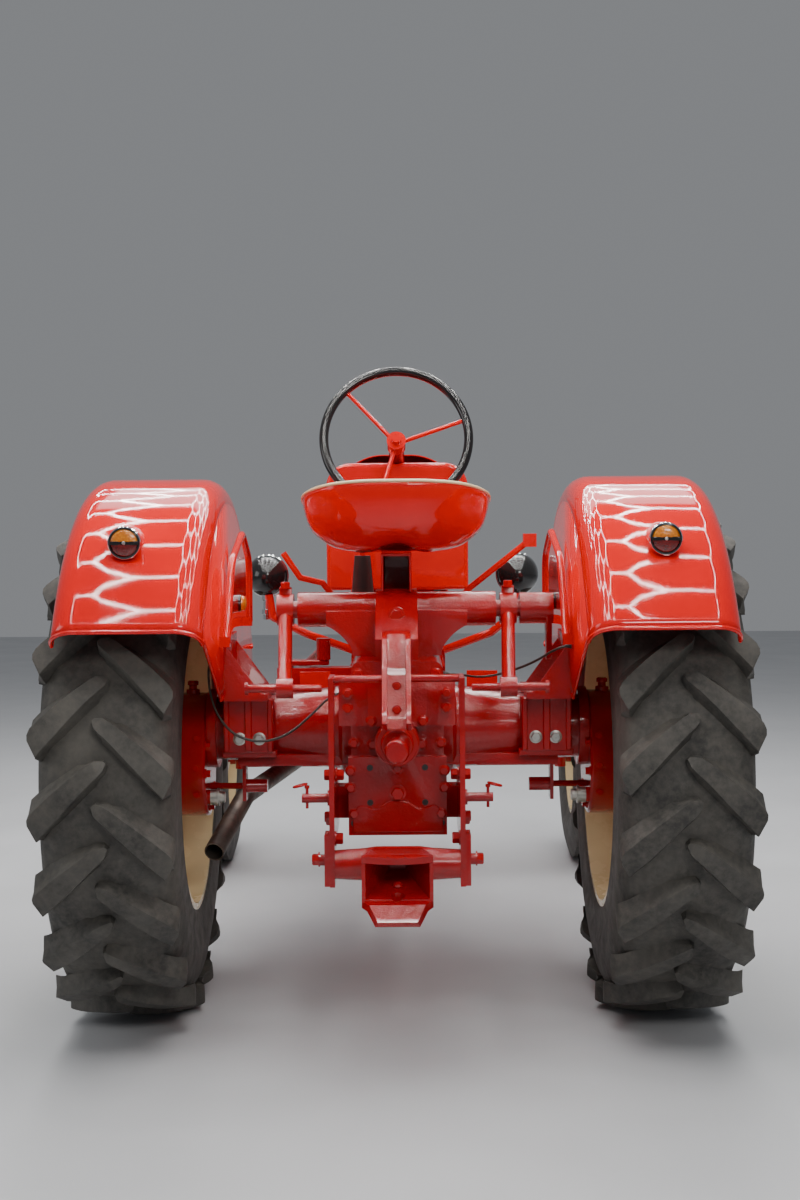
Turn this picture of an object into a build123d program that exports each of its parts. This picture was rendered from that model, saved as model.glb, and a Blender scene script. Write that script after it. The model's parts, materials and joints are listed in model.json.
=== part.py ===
from build123d import *
import math
import os

# Farm tractor, sizes in millimetres.
# +Z is up, -Y is forward and +X is the driver's left. The origin is on the ground,
# under the middle of the machine's length and width.

# ---------------------------------------------------------------- driving dimensions
WHEELBASE = 1790
REAR_OVERHANG = 660        # rear axle to the back of the trailer jaw
NOSE_OVERHANG = 415        # front axle to the tip of the bonnet

REAR_TYRE_DIAMETER = 1240
REAR_TYRE_WIDTH = 318
REAR_TRACK = 1310
REAR_RIM_DIAMETER = 712    # bead seat
REAR_RIM_WIDTH = 280
FRONT_TYRE_DIAMETER = 750
FRONT_TYRE_WIDTH = 160
FRONT_TRACK = 1350
FRONT_RIM_DIAMETER = 406
FRONT_RIM_WIDTH = 114

RUN_GAP = 1.0              # between a turning shaft and its bearing wall
PIN_GAP = 0.5              # between two pieces that slide face to face
CLEAR = 8.0                # between a moving piece and its fixed neighbour

SHEET = 3.0                # bonnet, mudguards and footplates

# ---------------------------------------------------------------- stations along Y
OVERALL_LENGTH = REAR_OVERHANG + WHEELBASE + NOSE_OVERHANG
REAR_Y = OVERALL_LENGTH / 2 - REAR_OVERHANG
FRONT_Y = REAR_Y - WHEELBASE
NOSE_Y = FRONT_Y - NOSE_OVERHANG
JAW_BACK_Y = REAR_Y + REAR_OVERHANG

REAR_Z = REAR_TYRE_DIAMETER / 2
FRONT_Z = FRONT_TYRE_DIAMETER / 2
REAR_X = REAR_TRACK / 2
FRONT_X = FRONT_TRACK / 2

os.makedirs("parts", exist_ok=True)


def write(piece, name):
    """Labels a finished piece and writes it as its own STEP file."""
    piece.label = name
    export_step(piece, f"parts/{name}.step")


def write_pair(piece, name):
    """Writes a left-hand piece and its mirror image as two nodes."""
    write(piece, f"{name}_left")
    write(mirror(piece, about=Plane.YZ), f"{name}_right")


def write_both_sides(piece, name):
    """Writes a left-hand piece and its mirror image as one node of separate solids."""
    other = mirror(piece, about=Plane.YZ)
    write(Compound(children=[*piece.solids(), *other.solids()]), name)


def wheel_plane(x, y, z):
    """Sketch plane through a wheel's axis: local x is across the wheel, local y is the radius."""
    return Plane(origin=(x, y, z), x_dir=(1, 0, 0), z_dir=(0, -1, 0))


def across(x, y, z):
    """Plane square to X: local x is Y and local y is Z, from the given point."""
    return Plane(origin=(x, y, z), x_dir=(0, 1, 0), z_dir=(1, 0, 0))


def spin_axis(y, z):
    return Axis((0, y, z), (1, 0, 0))


# ================================================================ wheels
REAR_BEAD_R = REAR_RIM_DIAMETER / 2
FRONT_BEAD_R = FRONT_RIM_DIAMETER / 2


def tyre(plane, axis, outer_r, width, bead_r, rim_width, wall, crown):
    """A pneumatic tyre: an open C section that closes on the rim."""
    half = width / 2
    seat = rim_width / 2 - 2
    shoulder_r = outer_r - crown
    flat = half * 0.62
    belly_r = bead_r + 0.46 * (outer_r - bead_r)
    edge = half * 0.96
    with BuildPart() as made:
        with BuildSketch(plane):
            with BuildLine():
                Polyline(
                    (-seat + wall, bead_r), (-seat, bead_r), (-seat, bead_r + 1.2 * wall),
                    (-half, belly_r - wall), (-half, belly_r + wall), (-edge, shoulder_r),
                    (-flat, outer_r), (flat, outer_r), (edge, shoulder_r),
                    (half, belly_r + wall), (half, belly_r - wall), (seat, bead_r + 1.2 * wall),
                    (seat, bead_r), (seat - wall, bead_r), (seat - wall, bead_r + wall),
                    (half - wall, belly_r - wall), (half - wall, belly_r + wall),
                    (edge - wall, shoulder_r - wall), (-edge + wall, shoulder_r - wall),
                    (-half + wall, belly_r + wall), (-half + wall, belly_r - wall),
                    (-seat + wall, bead_r + wall), close=True)
            make_face()
        revolve(axis=axis)
    return made.part


REAR_TYRE_WALL = 26
REAR_CROWN = 18
FRONT_TYRE_WALL = 16
FRONT_CROWN = 12

rear_tyre = tyre(
    wheel_plane(REAR_X, REAR_Y, REAR_Z), spin_axis(REAR_Y, REAR_Z),
    REAR_TYRE_DIAMETER / 2, REAR_TYRE_WIDTH, REAR_BEAD_R, REAR_RIM_WIDTH, REAR_TYRE_WALL, REAR_CROWN)
write_pair(rear_tyre, "rear_tyre")

front_tyre = tyre(
    wheel_plane(FRONT_X, FRONT_Y, FRONT_Z), spin_axis(FRONT_Y, FRONT_Z),
    FRONT_TYRE_DIAMETER / 2, FRONT_TYRE_WIDTH, FRONT_BEAD_R, FRONT_RIM_WIDTH, FRONT_TYRE_WALL, FRONT_CROWN)
write_pair(front_tyre, "front_tyre")

# The rear rim is a well-base rim with lugs, bolted to a dished disc.
REAR_FLANGE_R = REAR_BEAD_R + 25
REAR_WELL_R = REAR_BEAD_R - 27
RIM_SHEET = 6
REAR_LUG_COUNT = 8
REAR_LUG_THICK = 12
REAR_LUG_WIDTH = 64
DISC_SHEET = 10
DISC_EDGE_R = REAR_WELL_R - RIM_SHEET - 22
DISC_EDGE_X = 32           # outboard of the wheel's middle plane
DISC_HUB_X = -46
HUB_FLANGE_R = 118
DISC_EYE_R = 62
WHEEL_STUD_PCD = 184
WHEEL_STUD_COUNT = 8
WHEEL_STUD_R = 9

with BuildPart() as rear_rim:
    with BuildSketch(wheel_plane(REAR_X, REAR_Y, REAR_Z)):
        rim_half = REAR_RIM_WIDTH / 2
        well_half = rim_half * 0.42
        bed_r = REAR_BEAD_R - RIM_SHEET
        with BuildLine():
            Polyline(
                (-rim_half - RIM_SHEET, REAR_FLANGE_R), (-rim_half, REAR_FLANGE_R),
                (-rim_half, REAR_BEAD_R), (-well_half, REAR_BEAD_R),
                (-well_half + 14, REAR_WELL_R), (well_half - 14, REAR_WELL_R),
                (well_half, REAR_BEAD_R), (rim_half, REAR_BEAD_R),
                (rim_half, REAR_FLANGE_R), (rim_half + RIM_SHEET, REAR_FLANGE_R),
                (rim_half + RIM_SHEET, bed_r), (well_half + 3, bed_r),
                (well_half - 11, REAR_WELL_R - RIM_SHEET), (-well_half + 11, REAR_WELL_R - RIM_SHEET),
                (-well_half - 3, bed_r), (-rim_half - RIM_SHEET, bed_r),
                close=True)
        make_face()
    revolve(axis=spin_axis(REAR_Y, REAR_Z))
    # dished disc
    with BuildSketch(wheel_plane(REAR_X, REAR_Y, REAR_Z)):
        with BuildLine():
            Polyline(
                (DISC_HUB_X, DISC_EYE_R), (DISC_HUB_X, HUB_FLANGE_R + 12),
                (DISC_EDGE_X, DISC_EDGE_R - 40), (DISC_EDGE_X, DISC_EDGE_R),
                (DISC_EDGE_X + DISC_SHEET, DISC_EDGE_R), (DISC_EDGE_X + DISC_SHEET, DISC_EDGE_R - 44),
                (DISC_HUB_X + DISC_SHEET, HUB_FLANGE_R + 8), (DISC_HUB_X + DISC_SHEET, DISC_EYE_R),
                close=True)
        make_face()
    revolve(axis=spin_axis(REAR_Y, REAR_Z))
    # lugs that join the rim to the disc
    lug_inner_r = DISC_EDGE_R - 34
    lug_outer_r = REAR_WELL_R - RIM_SHEET + 2
    with BuildSketch(across(REAR_X + DISC_EDGE_X + DISC_SHEET, REAR_Y, REAR_Z)):
        with PolarLocations((lug_inner_r + lug_outer_r) / 2, REAR_LUG_COUNT):
            Rectangle(lug_outer_r - lug_inner_r, REAR_LUG_WIDTH)
    extrude(amount=REAR_LUG_THICK)
    # wheel stud holes
    with BuildSketch(across(REAR_X + DISC_HUB_X, REAR_Y, REAR_Z)):
        with PolarLocations(WHEEL_STUD_PCD / 2, WHEEL_STUD_COUNT):
            Circle(WHEEL_STUD_R)
    extrude(amount=DISC_SHEET, mode=Mode.SUBTRACT)
write_pair(rear_rim.part, "rear_rim")

# Output shaft of the final drive with its wheel flange and cap.
HUB_SHAFT_R = 38
HUB_FLANGE_THICK = 14
DRIVE_OUT_X = REAR_X - 90  # outboard face of the final drive housing
DRIVE_IN_X = DRIVE_OUT_X - 87
hub_face_x = REAR_X + DISC_HUB_X

with BuildPart() as rear_hub:
    with BuildSketch(across(hub_face_x - HUB_FLANGE_THICK, REAR_Y, REAR_Z)):
        Circle(HUB_FLANGE_R)
        with PolarLocations(WHEEL_STUD_PCD / 2, WHEEL_STUD_COUNT):
            Circle(WHEEL_STUD_R, mode=Mode.SUBTRACT)
    extrude(amount=HUB_FLANGE_THICK)
    with BuildSketch(across(DRIVE_IN_X + 12, REAR_Y, REAR_Z)):
        Circle(HUB_SHAFT_R)
    extrude(amount=hub_face_x - DRIVE_IN_X - 12)
    with BuildSketch(across(hub_face_x, REAR_Y, REAR_Z)):
        Circle(DISC_EYE_R - PIN_GAP)
    extrude(amount=34)
    chamfer(rear_hub.faces().sort_by(Axis.X)[-1].edges(), 8)
write_pair(rear_hub.part, "rear_hub")

# Front wheel: rim and disc in one, on its own hub.
FRONT_FLANGE_R = FRONT_BEAD_R + 17
FRONT_WELL_R = FRONT_BEAD_R - 20
FRONT_RIM_SHEET = 4.5
FRONT_EYE_R = 46
FRONT_HUB_R = 78
FRONT_DISC_X = 22          # disc's outer face, outboard of the middle plane
FRONT_STUD_PCD = 120
FRONT_STUD_COUNT = 5
FRONT_STUD_R = 7

with BuildPart() as front_rim:
    with BuildSketch(wheel_plane(FRONT_X, FRONT_Y, FRONT_Z)):
        half = FRONT_RIM_WIDTH / 2
        well = half * 0.55
        sheet = FRONT_RIM_SHEET
        with BuildLine():
            Polyline(
                (-half - sheet, FRONT_FLANGE_R), (-half, FRONT_FLANGE_R),
                (-half, FRONT_BEAD_R), (-well, FRONT_BEAD_R),
                (-well + 9, FRONT_WELL_R), (well - 9, FRONT_WELL_R),
                (well, FRONT_BEAD_R), (half, FRONT_BEAD_R),
                (half, FRONT_FLANGE_R), (half + sheet, FRONT_FLANGE_R),
                (half + sheet, FRONT_BEAD_R - sheet), (well + 2, FRONT_BEAD_R - sheet),
                (well - 7, FRONT_WELL_R - sheet), (-well + 7, FRONT_WELL_R - sheet),
                (-well - 2, FRONT_BEAD_R - sheet), (-half - sheet, FRONT_BEAD_R - sheet),
                close=True)
        make_face()
    revolve(axis=spin_axis(FRONT_Y, FRONT_Z))
    with BuildSketch(wheel_plane(FRONT_X, FRONT_Y, FRONT_Z)):
        disc_x = FRONT_DISC_X
        rim_r = FRONT_WELL_R - FRONT_RIM_SHEET + 1
        with BuildLine():
            Polyline(
                (disc_x - 6, FRONT_EYE_R), (disc_x - 6, FRONT_HUB_R + 14),
                (disc_x - 26, rim_r - 26), (disc_x - 26, rim_r),
                (disc_x - 20, rim_r), (disc_x - 20, rim_r - 23),
                (disc_x, FRONT_HUB_R + 16), (disc_x, FRONT_EYE_R),
                close=True)
        make_face()
    revolve(axis=spin_axis(FRONT_Y, FRONT_Z))
    with BuildSketch(across(FRONT_X + FRONT_DISC_X - 6, FRONT_Y, FRONT_Z)):
        with PolarLocations(FRONT_STUD_PCD / 2, FRONT_STUD_COUNT):
            Circle(FRONT_STUD_R)
    extrude(amount=6, mode=Mode.SUBTRACT)
write_pair(front_rim.part, "front_rim")

# ================================================================ front axle and steering
KINGPIN_X = FRONT_X - 110
KINGPIN_R = 17
SLEEVE_R = 30
SLEEVE_LOW_Z = 405
SLEEVE_HIGH_Z = 545
STUB_R = 20
HUB_INNER_X = FRONT_X - 51  # inboard end of the front hub
STEER_ARM = 105            # drag link arm and drop arm, which stay parallel
TIE_ARM = 125              # both tie rod arms
ARM_THICK = 16
BALL_R = 17
TOP_ARM_Z = SLEEVE_HIGH_Z + PIN_GAP     # underside of the drag link arm
TIE_ARM_Z = 402 - ARM_THICK             # underside of the tie rod arm

with BuildPart() as front_hub:
    hub_end_x = FRONT_X + FRONT_DISC_X + 46
    with BuildSketch(across(HUB_INNER_X, FRONT_Y, FRONT_Z)):
        Circle(48)
    extrude(amount=FRONT_X + FRONT_DISC_X - 6 - HUB_INNER_X)
    with BuildSketch(across(FRONT_X + FRONT_DISC_X - 16, FRONT_Y, FRONT_Z)):
        Circle(FRONT_HUB_R)
        with PolarLocations(FRONT_STUD_PCD / 2, FRONT_STUD_COUNT):
            Circle(FRONT_STUD_R, mode=Mode.SUBTRACT)
    extrude(amount=10)
    with BuildSketch(across(FRONT_X + FRONT_DISC_X - 6, FRONT_Y, FRONT_Z)):
        Circle(FRONT_EYE_R - PIN_GAP)
    extrude(amount=hub_end_x - (FRONT_X + FRONT_DISC_X - 6))
    fillet(front_hub.faces().sort_by(Axis.X)[-1].edges(), 14)
    # bearing bore for the stub axle
    with BuildSketch(across(HUB_INNER_X, FRONT_Y, FRONT_Z)):
        Circle(STUB_R + RUN_GAP)
    extrude(amount=hub_end_x - HUB_INNER_X - 18, mode=Mode.SUBTRACT)
write_pair(front_hub.part, "front_hub")


def plan_arm(x, y, z, dx, dy, root_r, end_r):
    """Outline of a flat arm between two round ends, drawn level at height z."""
    with BuildSketch(Plane.XY.offset(z)) as made:
        with Locations((x, y)):
            Circle(root_r)
        with Locations((x + dx, y + dy)):
            Circle(end_r)
        make_hull()
    return made.sketch


def knuckle_part(has_drag_arm):
    """Kingpin, stub axle and steering arms of the left side; the right side has no drag link arm."""
    with BuildPart() as made:
        with Locations((KINGPIN_X, FRONT_Y, (FRONT_Z + TOP_ARM_Z) / 2)):
            Cylinder(KINGPIN_R, TOP_ARM_Z - FRONT_Z)
        # foot of the kingpin, which holds the stub axle
        with Locations((KINGPIN_X, FRONT_Y, FRONT_Z)):
            Box(58, 58, 2 * (SLEEVE_LOW_Z - PIN_GAP - FRONT_Z))
        with BuildSketch(across(KINGPIN_X, FRONT_Y, FRONT_Z)):
            Circle(STUB_R)
        extrude(amount=FRONT_X + FRONT_DISC_X + 22 - KINGPIN_X)
        with BuildSketch(across(KINGPIN_X, FRONT_Y, FRONT_Z)):
            Circle(STUB_R + 8)
        extrude(amount=HUB_INNER_X - CLEAR - KINGPIN_X)
        # tie rod arm, straight back
        extrude(plan_arm(KINGPIN_X, FRONT_Y, TIE_ARM_Z, 0, TIE_ARM, 27, BALL_R), amount=ARM_THICK)
        # cap or drag link arm on top of the kingpin
        if has_drag_arm:
            extrude(plan_arm(KINGPIN_X, FRONT_Y, TOP_ARM_Z, -STEER_ARM, 0, 26, BALL_R), amount=ARM_THICK)
        else:
            with Locations((KINGPIN_X, FRONT_Y, TOP_ARM_Z + ARM_THICK / 2)):
                Cylinder(26, ARM_THICK)
    return made.part


write(knuckle_part(True), "knuckle_left")
write(mirror(knuckle_part(False), about=Plane.YZ), "knuckle_right")

# Tie rod: runs under both rear-pointing arms.
TIE_ROD_R = 13
tie_y = FRONT_Y + TIE_ARM
TIE_END_H = 34
tie_z = TIE_ARM_Z - PIN_GAP - TIE_END_H / 2
with BuildPart() as tie_rod:
    with Locations((-KINGPIN_X, tie_y, tie_z), (KINGPIN_X, tie_y, tie_z)):
        Cylinder(BALL_R + 3, TIE_END_H)
    with BuildSketch(across(-KINGPIN_X, tie_y, tie_z)):
        Circle(TIE_ROD_R)
    extrude(amount=2 * KINGPIN_X)
write(tie_rod.part, "tie_rod")

# Drop arm on a vertical rocker shaft; it stays parallel to the drag link arm.
ROCKER_X = 330
ROCKER_Y = REAR_Y - 765
DROP_ARM_Z = 800
ROCKER_R = 15
with BuildPart() as drop_arm:
    extrude(plan_arm(ROCKER_X, ROCKER_Y, DROP_ARM_Z, -STEER_ARM, 0, 27, BALL_R), amount=ARM_THICK)
    with Locations((ROCKER_X, ROCKER_Y, DROP_ARM_Z - 30)):
        Cylinder(ROCKER_R, 60)
write(drop_arm.part, "drop_arm")

# Drag link: a sloping tube with a ball cup above each arm.
CUP_H = 64
link_back = (ROCKER_X - STEER_ARM, ROCKER_Y, DROP_ARM_Z + ARM_THICK + PIN_GAP + CUP_H / 2)
link_front = (KINGPIN_X - STEER_ARM, FRONT_Y, TOP_ARM_Z + ARM_THICK + PIN_GAP + CUP_H / 2)
LINK_R = 14
with BuildPart() as drag_link:
    with Locations(link_back, link_front):
        Cylinder(BALL_R + 4, CUP_H)
    with BuildLine():
        link_line = Line(link_back, link_front)
    with BuildSketch(Plane(origin=link_line @ 0, z_dir=link_line % 0)):
        Circle(LINK_R)
    extrude(amount=link_line.length)
write(drag_link.part, "drag_link")

# Front axle: a beam with arms that slope down to the kingpin sleeves, on a centre pin.
BEAM_DEPTH = 72            # along Y
BEAM_MID_Z = 545
BEAM_MID_H = 96
BEAM_END_Z = 475
BEAM_END_H = 66
PIVOT_R = 24
with BuildPart() as front_axle:
    with BuildSketch(Plane.XZ.offset(-FRONT_Y - BEAM_DEPTH / 2)):
        with BuildLine():
            Polyline(
                (-KINGPIN_X, BEAM_END_Z + BEAM_END_H / 2), (-130, BEAM_MID_Z + BEAM_MID_H / 2),
                (130, BEAM_MID_Z + BEAM_MID_H / 2), (KINGPIN_X, BEAM_END_Z + BEAM_END_H / 2),
                (KINGPIN_X, BEAM_END_Z - BEAM_END_H / 2), (130, BEAM_MID_Z - BEAM_MID_H / 2),
                (-130, BEAM_MID_Z - BEAM_MID_H / 2), (-KINGPIN_X, BEAM_END_Z - BEAM_END_H / 2),
                close=True)
        make_face()
    extrude(amount=BEAM_DEPTH)
    with Locations((0, FRONT_Y, BEAM_MID_Z)):
        Cylinder(PIVOT_R + 24, BEAM_DEPTH + 24, rotation=(90, 0, 0))
    sleeve_mid = (SLEEVE_LOW_Z + SLEEVE_HIGH_Z) / 2
    with Locations((-KINGPIN_X, FRONT_Y, sleeve_mid), (KINGPIN_X, FRONT_Y, sleeve_mid)):
        Cylinder(SLEEVE_R, SLEEVE_HIGH_Z - SLEEVE_LOW_Z)
        Cylinder(KINGPIN_R + RUN_GAP, SLEEVE_HIGH_Z - SLEEVE_LOW_Z, mode=Mode.SUBTRACT)
    with Locations((0, FRONT_Y, BEAM_MID_Z)):
        Cylinder(PIVOT_R + PIN_GAP, BEAM_DEPTH + 30, rotation=(90, 0, 0), mode=Mode.SUBTRACT)
write(front_axle.part, "front_axle")

# ================================================================ chassis castings
# Stations along Y are measured from the rear axle; forward is negative.
GEARBOX_BACK = 230
GEARBOX_FRONT = -560
CLUTCH_FRONT = -880
ENGINE_FRONT = CLUTCH_FRONT - 600
BRACKET_FRONT = -WHEELBASE - 260
GEARBOX_HALF = 112
GEARBOX_LOW_Z = 490
GEARBOX_TOP_Z = 900
CLUTCH_HALF = 135
CLUTCH_TOP_Z = 880
ENGINE_HALF = 130
ENGINE_LOW_Z = 450
ENGINE_TOP_Z = 860
REAR_PLATE_HALF = 118
REAR_PLATE_BACK = 262
PTO_Z = 709
PTO_COVER_R = 54
PTO_COVER_BACK = 300
AXLE_Z = 712               # centre of the rear axle tubes


def block(x0, x1, y0, y1, z0, z1):
    """A box between limits; y0 and y1 are measured from the rear axle."""
    with BuildPart() as made:
        with Locations(((x0 + x1) / 2, REAR_Y + (y0 + y1) / 2, (z0 + z1) / 2)):
            Box(abs(x1 - x0), abs(y1 - y0), abs(z1 - z0))
    return made.part


with BuildPart() as gearbox_housing:
    add(block(-GEARBOX_HALF, GEARBOX_HALF, GEARBOX_FRONT, GEARBOX_BACK, GEARBOX_LOW_Z, GEARBOX_TOP_Z))
    fillet(gearbox_housing.edges().filter_by(Axis.Y), 26)
    add(block(-REAR_PLATE_HALF, REAR_PLATE_HALF, GEARBOX_BACK - 20, REAR_PLATE_BACK, 484, 672))
    # bearing cover of the power take-off
    with BuildSketch(Plane.XZ.offset(-(REAR_Y + GEARBOX_BACK - 20))):
        with Locations((0, PTO_Z)):
            Circle(PTO_COVER_R)
    extrude(amount=GEARBOX_BACK - 20 - PTO_COVER_BACK)
    # flange below the lift cover
    add(block(-140, 140, GEARBOX_BACK - 24, GEARBOX_BACK + 12, 745, 860))
    add(block(-70, 70, GEARBOX_BACK + 12, GEARBOX_BACK + 30, 745, 860))
write(gearbox_housing.part, "gearbox_housing")

with BuildPart() as clutch_housing:
    add(block(-CLUTCH_HALF, CLUTCH_HALF, CLUTCH_FRONT, GEARBOX_FRONT, 500, CLUTCH_TOP_Z))
    fillet(clutch_housing.edges().filter_by(Axis.Y), 40)
    # steering gear on its side, which carries the drop arm's upright shaft
    add(block(CLUTCH_HALF - 10, ROCKER_X + 32, -797, -733, 728, DROP_ARM_Z - 6))
    with Locations((ROCKER_X, ROCKER_Y, DROP_ARM_Z - 40)):
        Cylinder(ROCKER_R + RUN_GAP, 80, mode=Mode.SUBTRACT)
write(clutch_housing.part, "clutch_housing")

with BuildPart() as engine_block:
    add(block(-ENGINE_HALF, ENGINE_HALF, ENGINE_FRONT, CLUTCH_FRONT, ENGINE_LOW_Z + 80, ENGINE_TOP_Z))
    add(block(-95, 95, ENGINE_FRONT + 60, CLUTCH_FRONT - 30, ENGINE_LOW_Z, ENGINE_LOW_Z + 100))
write(engine_block.part, "engine_block")

CYLINDER_COUNT = 3
CYLINDER_PITCH = 172
CYLINDER_MID_Y = (ENGINE_FRONT + CLUTCH_FRONT) / 2 + 10
HEAD_TOP_Z = 1110
with BuildPart() as cylinders:
    for index in range(CYLINDER_COUNT):
        station = REAR_Y + CYLINDER_MID_Y + (index - (CYLINDER_COUNT - 1) / 2) * CYLINDER_PITCH
        with Locations((0, station, ENGINE_TOP_Z + 60)):
            Box(190, CYLINDER_PITCH - 16, 120)
        with Locations((0, station, (ENGINE_TOP_Z + 120 + HEAD_TOP_Z) / 2)):
            Box(220, CYLINDER_PITCH - 10, HEAD_TOP_Z - ENGINE_TOP_Z - 120)
write(cylinders.part, "cylinders")

BRACKET_LOW_Z = 610
BRACKET_TOP_Z = 800
with BuildPart() as axle_bracket:
    add(block(-95, 95, BRACKET_FRONT, ENGINE_FRONT, BRACKET_LOW_Z, BRACKET_TOP_Z))
    boss_half = BEAM_DEPTH / 2 + 12 + PIN_GAP
    for way in (-1, 1):
        with Locations((0, FRONT_Y + way * (boss_half + 16), (BRACKET_LOW_Z + BEAM_MID_Z) / 2)):
            Box(104, 32, BRACKET_LOW_Z - BEAM_MID_Z)
        with Locations((0, FRONT_Y + way * (boss_half + 16), BEAM_MID_Z)):
            Cylinder(52, 32, rotation=(90, 0, 0))
    with Locations((0, FRONT_Y, BEAM_MID_Z)):
        Cylinder(PIVOT_R, 2 * boss_half + 90, rotation=(90, 0, 0))
write(axle_bracket.part, "axle_bracket")

RADIATOR_FRONT = BRACKET_FRONT + 50
with BuildPart() as radiator:
    add(block(-150, 150, RADIATOR_FRONT, RADIATOR_FRONT + 100, BRACKET_TOP_Z, 1330))
    with Locations((0, REAR_Y + RADIATOR_FRONT + 110, 1080)):
        Cylinder(140, 20, rotation=(90, 0, 0))
write(radiator.part, "radiator")

# ---------------------------------------------------------------- rear axle
TUBE_R = 80
TUBE_ROOT_R = 116
with BuildPart() as axle_housing:
    with BuildSketch(Plane(origin=(0, REAR_Y, AXLE_Z), x_dir=(1, 0, 0), z_dir=(0, -1, 0))):
        with BuildLine():
            Polyline(
                (GEARBOX_HALF, 0), (GEARBOX_HALF, TUBE_ROOT_R), (GEARBOX_HALF + 26, TUBE_ROOT_R),
                (GEARBOX_HALF + 34, TUBE_ROOT_R - 10), (295, TUBE_R + 4), (DRIVE_IN_X - 24, TUBE_R),
                (DRIVE_IN_X - 24, TUBE_R + 20), (DRIVE_IN_X, TUBE_R + 20), (DRIVE_IN_X, 0), close=True)
        make_face()
    revolve(axis=Axis((0, REAR_Y, AXLE_Z), (1, 0, 0)))
    # flat foot under the tube
    add(block(GEARBOX_HALF, DRIVE_IN_X - 78, -84, 84, AXLE_Z - TUBE_R - 6, AXLE_Z - TUBE_R + 22))
write_both_sides(axle_housing.part, "axle_housings")

DRIVE_LOW_R = 131
DRIVE_TOP_R = 91
with BuildPart() as final_drive:
    with BuildSketch(across(DRIVE_IN_X, REAR_Y, 0)):
        with Locations((0, REAR_Z)):
            Circle(DRIVE_LOW_R)
        with Locations((0, AXLE_Z)):
            Circle(DRIVE_TOP_R)
        make_hull()
    extrude(amount=DRIVE_OUT_X - DRIVE_IN_X)
    chamfer(final_drive.faces().sort_by(Axis.X)[-1].edges(), 10)
    with BuildSketch(across(DRIVE_IN_X + 10, REAR_Y, REAR_Z)):
        Circle(HUB_SHAFT_R + RUN_GAP)
    extrude(amount=DRIVE_OUT_X - DRIVE_IN_X, mode=Mode.SUBTRACT)
write_both_sides(final_drive.part, "final_drives")

# Pins on the inboard face of the final drives.
DRIVE_PIN_Y = 80
DRIVE_PIN_Z = 548
DRIVE_PIN_R = 11
DRIVE_PIN_LENGTH = 44
with BuildPart() as drive_pins:
    with BuildSketch(across(DRIVE_IN_X - DRIVE_PIN_LENGTH, REAR_Y + DRIVE_PIN_Y, DRIVE_PIN_Z)):
        Circle(DRIVE_PIN_R)
    extrude(amount=DRIVE_PIN_LENGTH)
    with BuildSketch(across(DRIVE_IN_X - 10, REAR_Y + DRIVE_PIN_Y, DRIVE_PIN_Z)):
        Circle(DRIVE_PIN_R + 8)
    extrude(amount=10)

# Brake linkage: a hanger below each axle tube and a cross shaft into the final drive.
HANGER_X = DRIVE_IN_X - 94
with BuildPart() as brake_linkage:
    add(block(HANGER_X, HANGER_X + 9, -6, 42, 530, AXLE_Z - TUBE_R - 6))
    with BuildSketch(across(HANGER_X - 52, REAR_Y + 18, 566)):
        Circle(17)
    extrude(amount=52)
    with BuildSketch(across(HANGER_X, REAR_Y + 18, 566)):
        Circle(8)
    extrude(amount=DRIVE_IN_X - HANGER_X)
write_both_sides(brake_linkage.part, "brake_linkage")

# ---------------------------------------------------------------- lift housing
LIFT_Z = 1012
LIFT_TUBE_R = 44
LIFT_TUBE_END_X = 250
LIFT_SHAFT_R = 22
LIFT_COVER_HALF = 112
with BuildPart() as lift_housing:
    # cover that closes the top of the gearbox
    add(block(-105, 105, -230, 60, GEARBOX_TOP_Z, 975))
    fillet(lift_housing.edges().filter_by(Axis.Y).group_by(Axis.Z)[-1], 18)
    # shoulders that narrow from the shaft's tube down to the cover
    with BuildSketch(Plane.XZ.offset(-(REAR_Y - 70))):
        with BuildLine():
            Line((-LIFT_COVER_HALF, GEARBOX_TOP_Z), (LIFT_COVER_HALF, GEARBOX_TOP_Z))
            Line((LIFT_COVER_HALF, GEARBOX_TOP_Z), (LIFT_COVER_HALF, GEARBOX_TOP_Z + 14))
            ThreePointArc((LIFT_COVER_HALF, GEARBOX_TOP_Z + 14), (132, 944), (176, 976))
            Polyline((176, 976), (176, LIFT_Z), (-176, LIFT_Z), (-176, 976))
            ThreePointArc((-176, 976), (-132, 944), (-LIFT_COVER_HALF, GEARBOX_TOP_Z + 14))
            Line((-LIFT_COVER_HALF, GEARBOX_TOP_Z + 14), (-LIFT_COVER_HALF, GEARBOX_TOP_Z))
        make_face()
    extrude(amount=-150)
    # middle rib, which runs back to the top link bracket
    with BuildSketch(across(-52, REAR_Y, 0)):
        with BuildLine():
            Polyline(
                (-90, 960), (-90, 1064), (30, 1064), (92, 1036), (199, 950), (199, GEARBOX_TOP_Z),
                (60, GEARBOX_TOP_Z), (60, 960), close=True)
        make_face()
    extrude(amount=104)
    with BuildSketch(Plane(origin=(0, REAR_Y, LIFT_Z), x_dir=(1, 0, 0), z_dir=(0, -1, 0))):
        with BuildLine():
            Polyline(
                (-LIFT_TUBE_END_X, 0), (-LIFT_TUBE_END_X, LIFT_TUBE_R), (LIFT_TUBE_END_X, LIFT_TUBE_R),
                (LIFT_TUBE_END_X, 0), close=True)
        make_face()
    revolve(axis=Axis((0, REAR_Y, LIFT_Z), (1, 0, 0)))
    with Locations((0, REAR_Y, LIFT_Z)):
        Cylinder(LIFT_SHAFT_R + RUN_GAP, 2 * LIFT_TUBE_END_X + 2, rotation=(0, 90, 0), mode=Mode.SUBTRACT)
write(lift_housing.part, "lift_housing")

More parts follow.
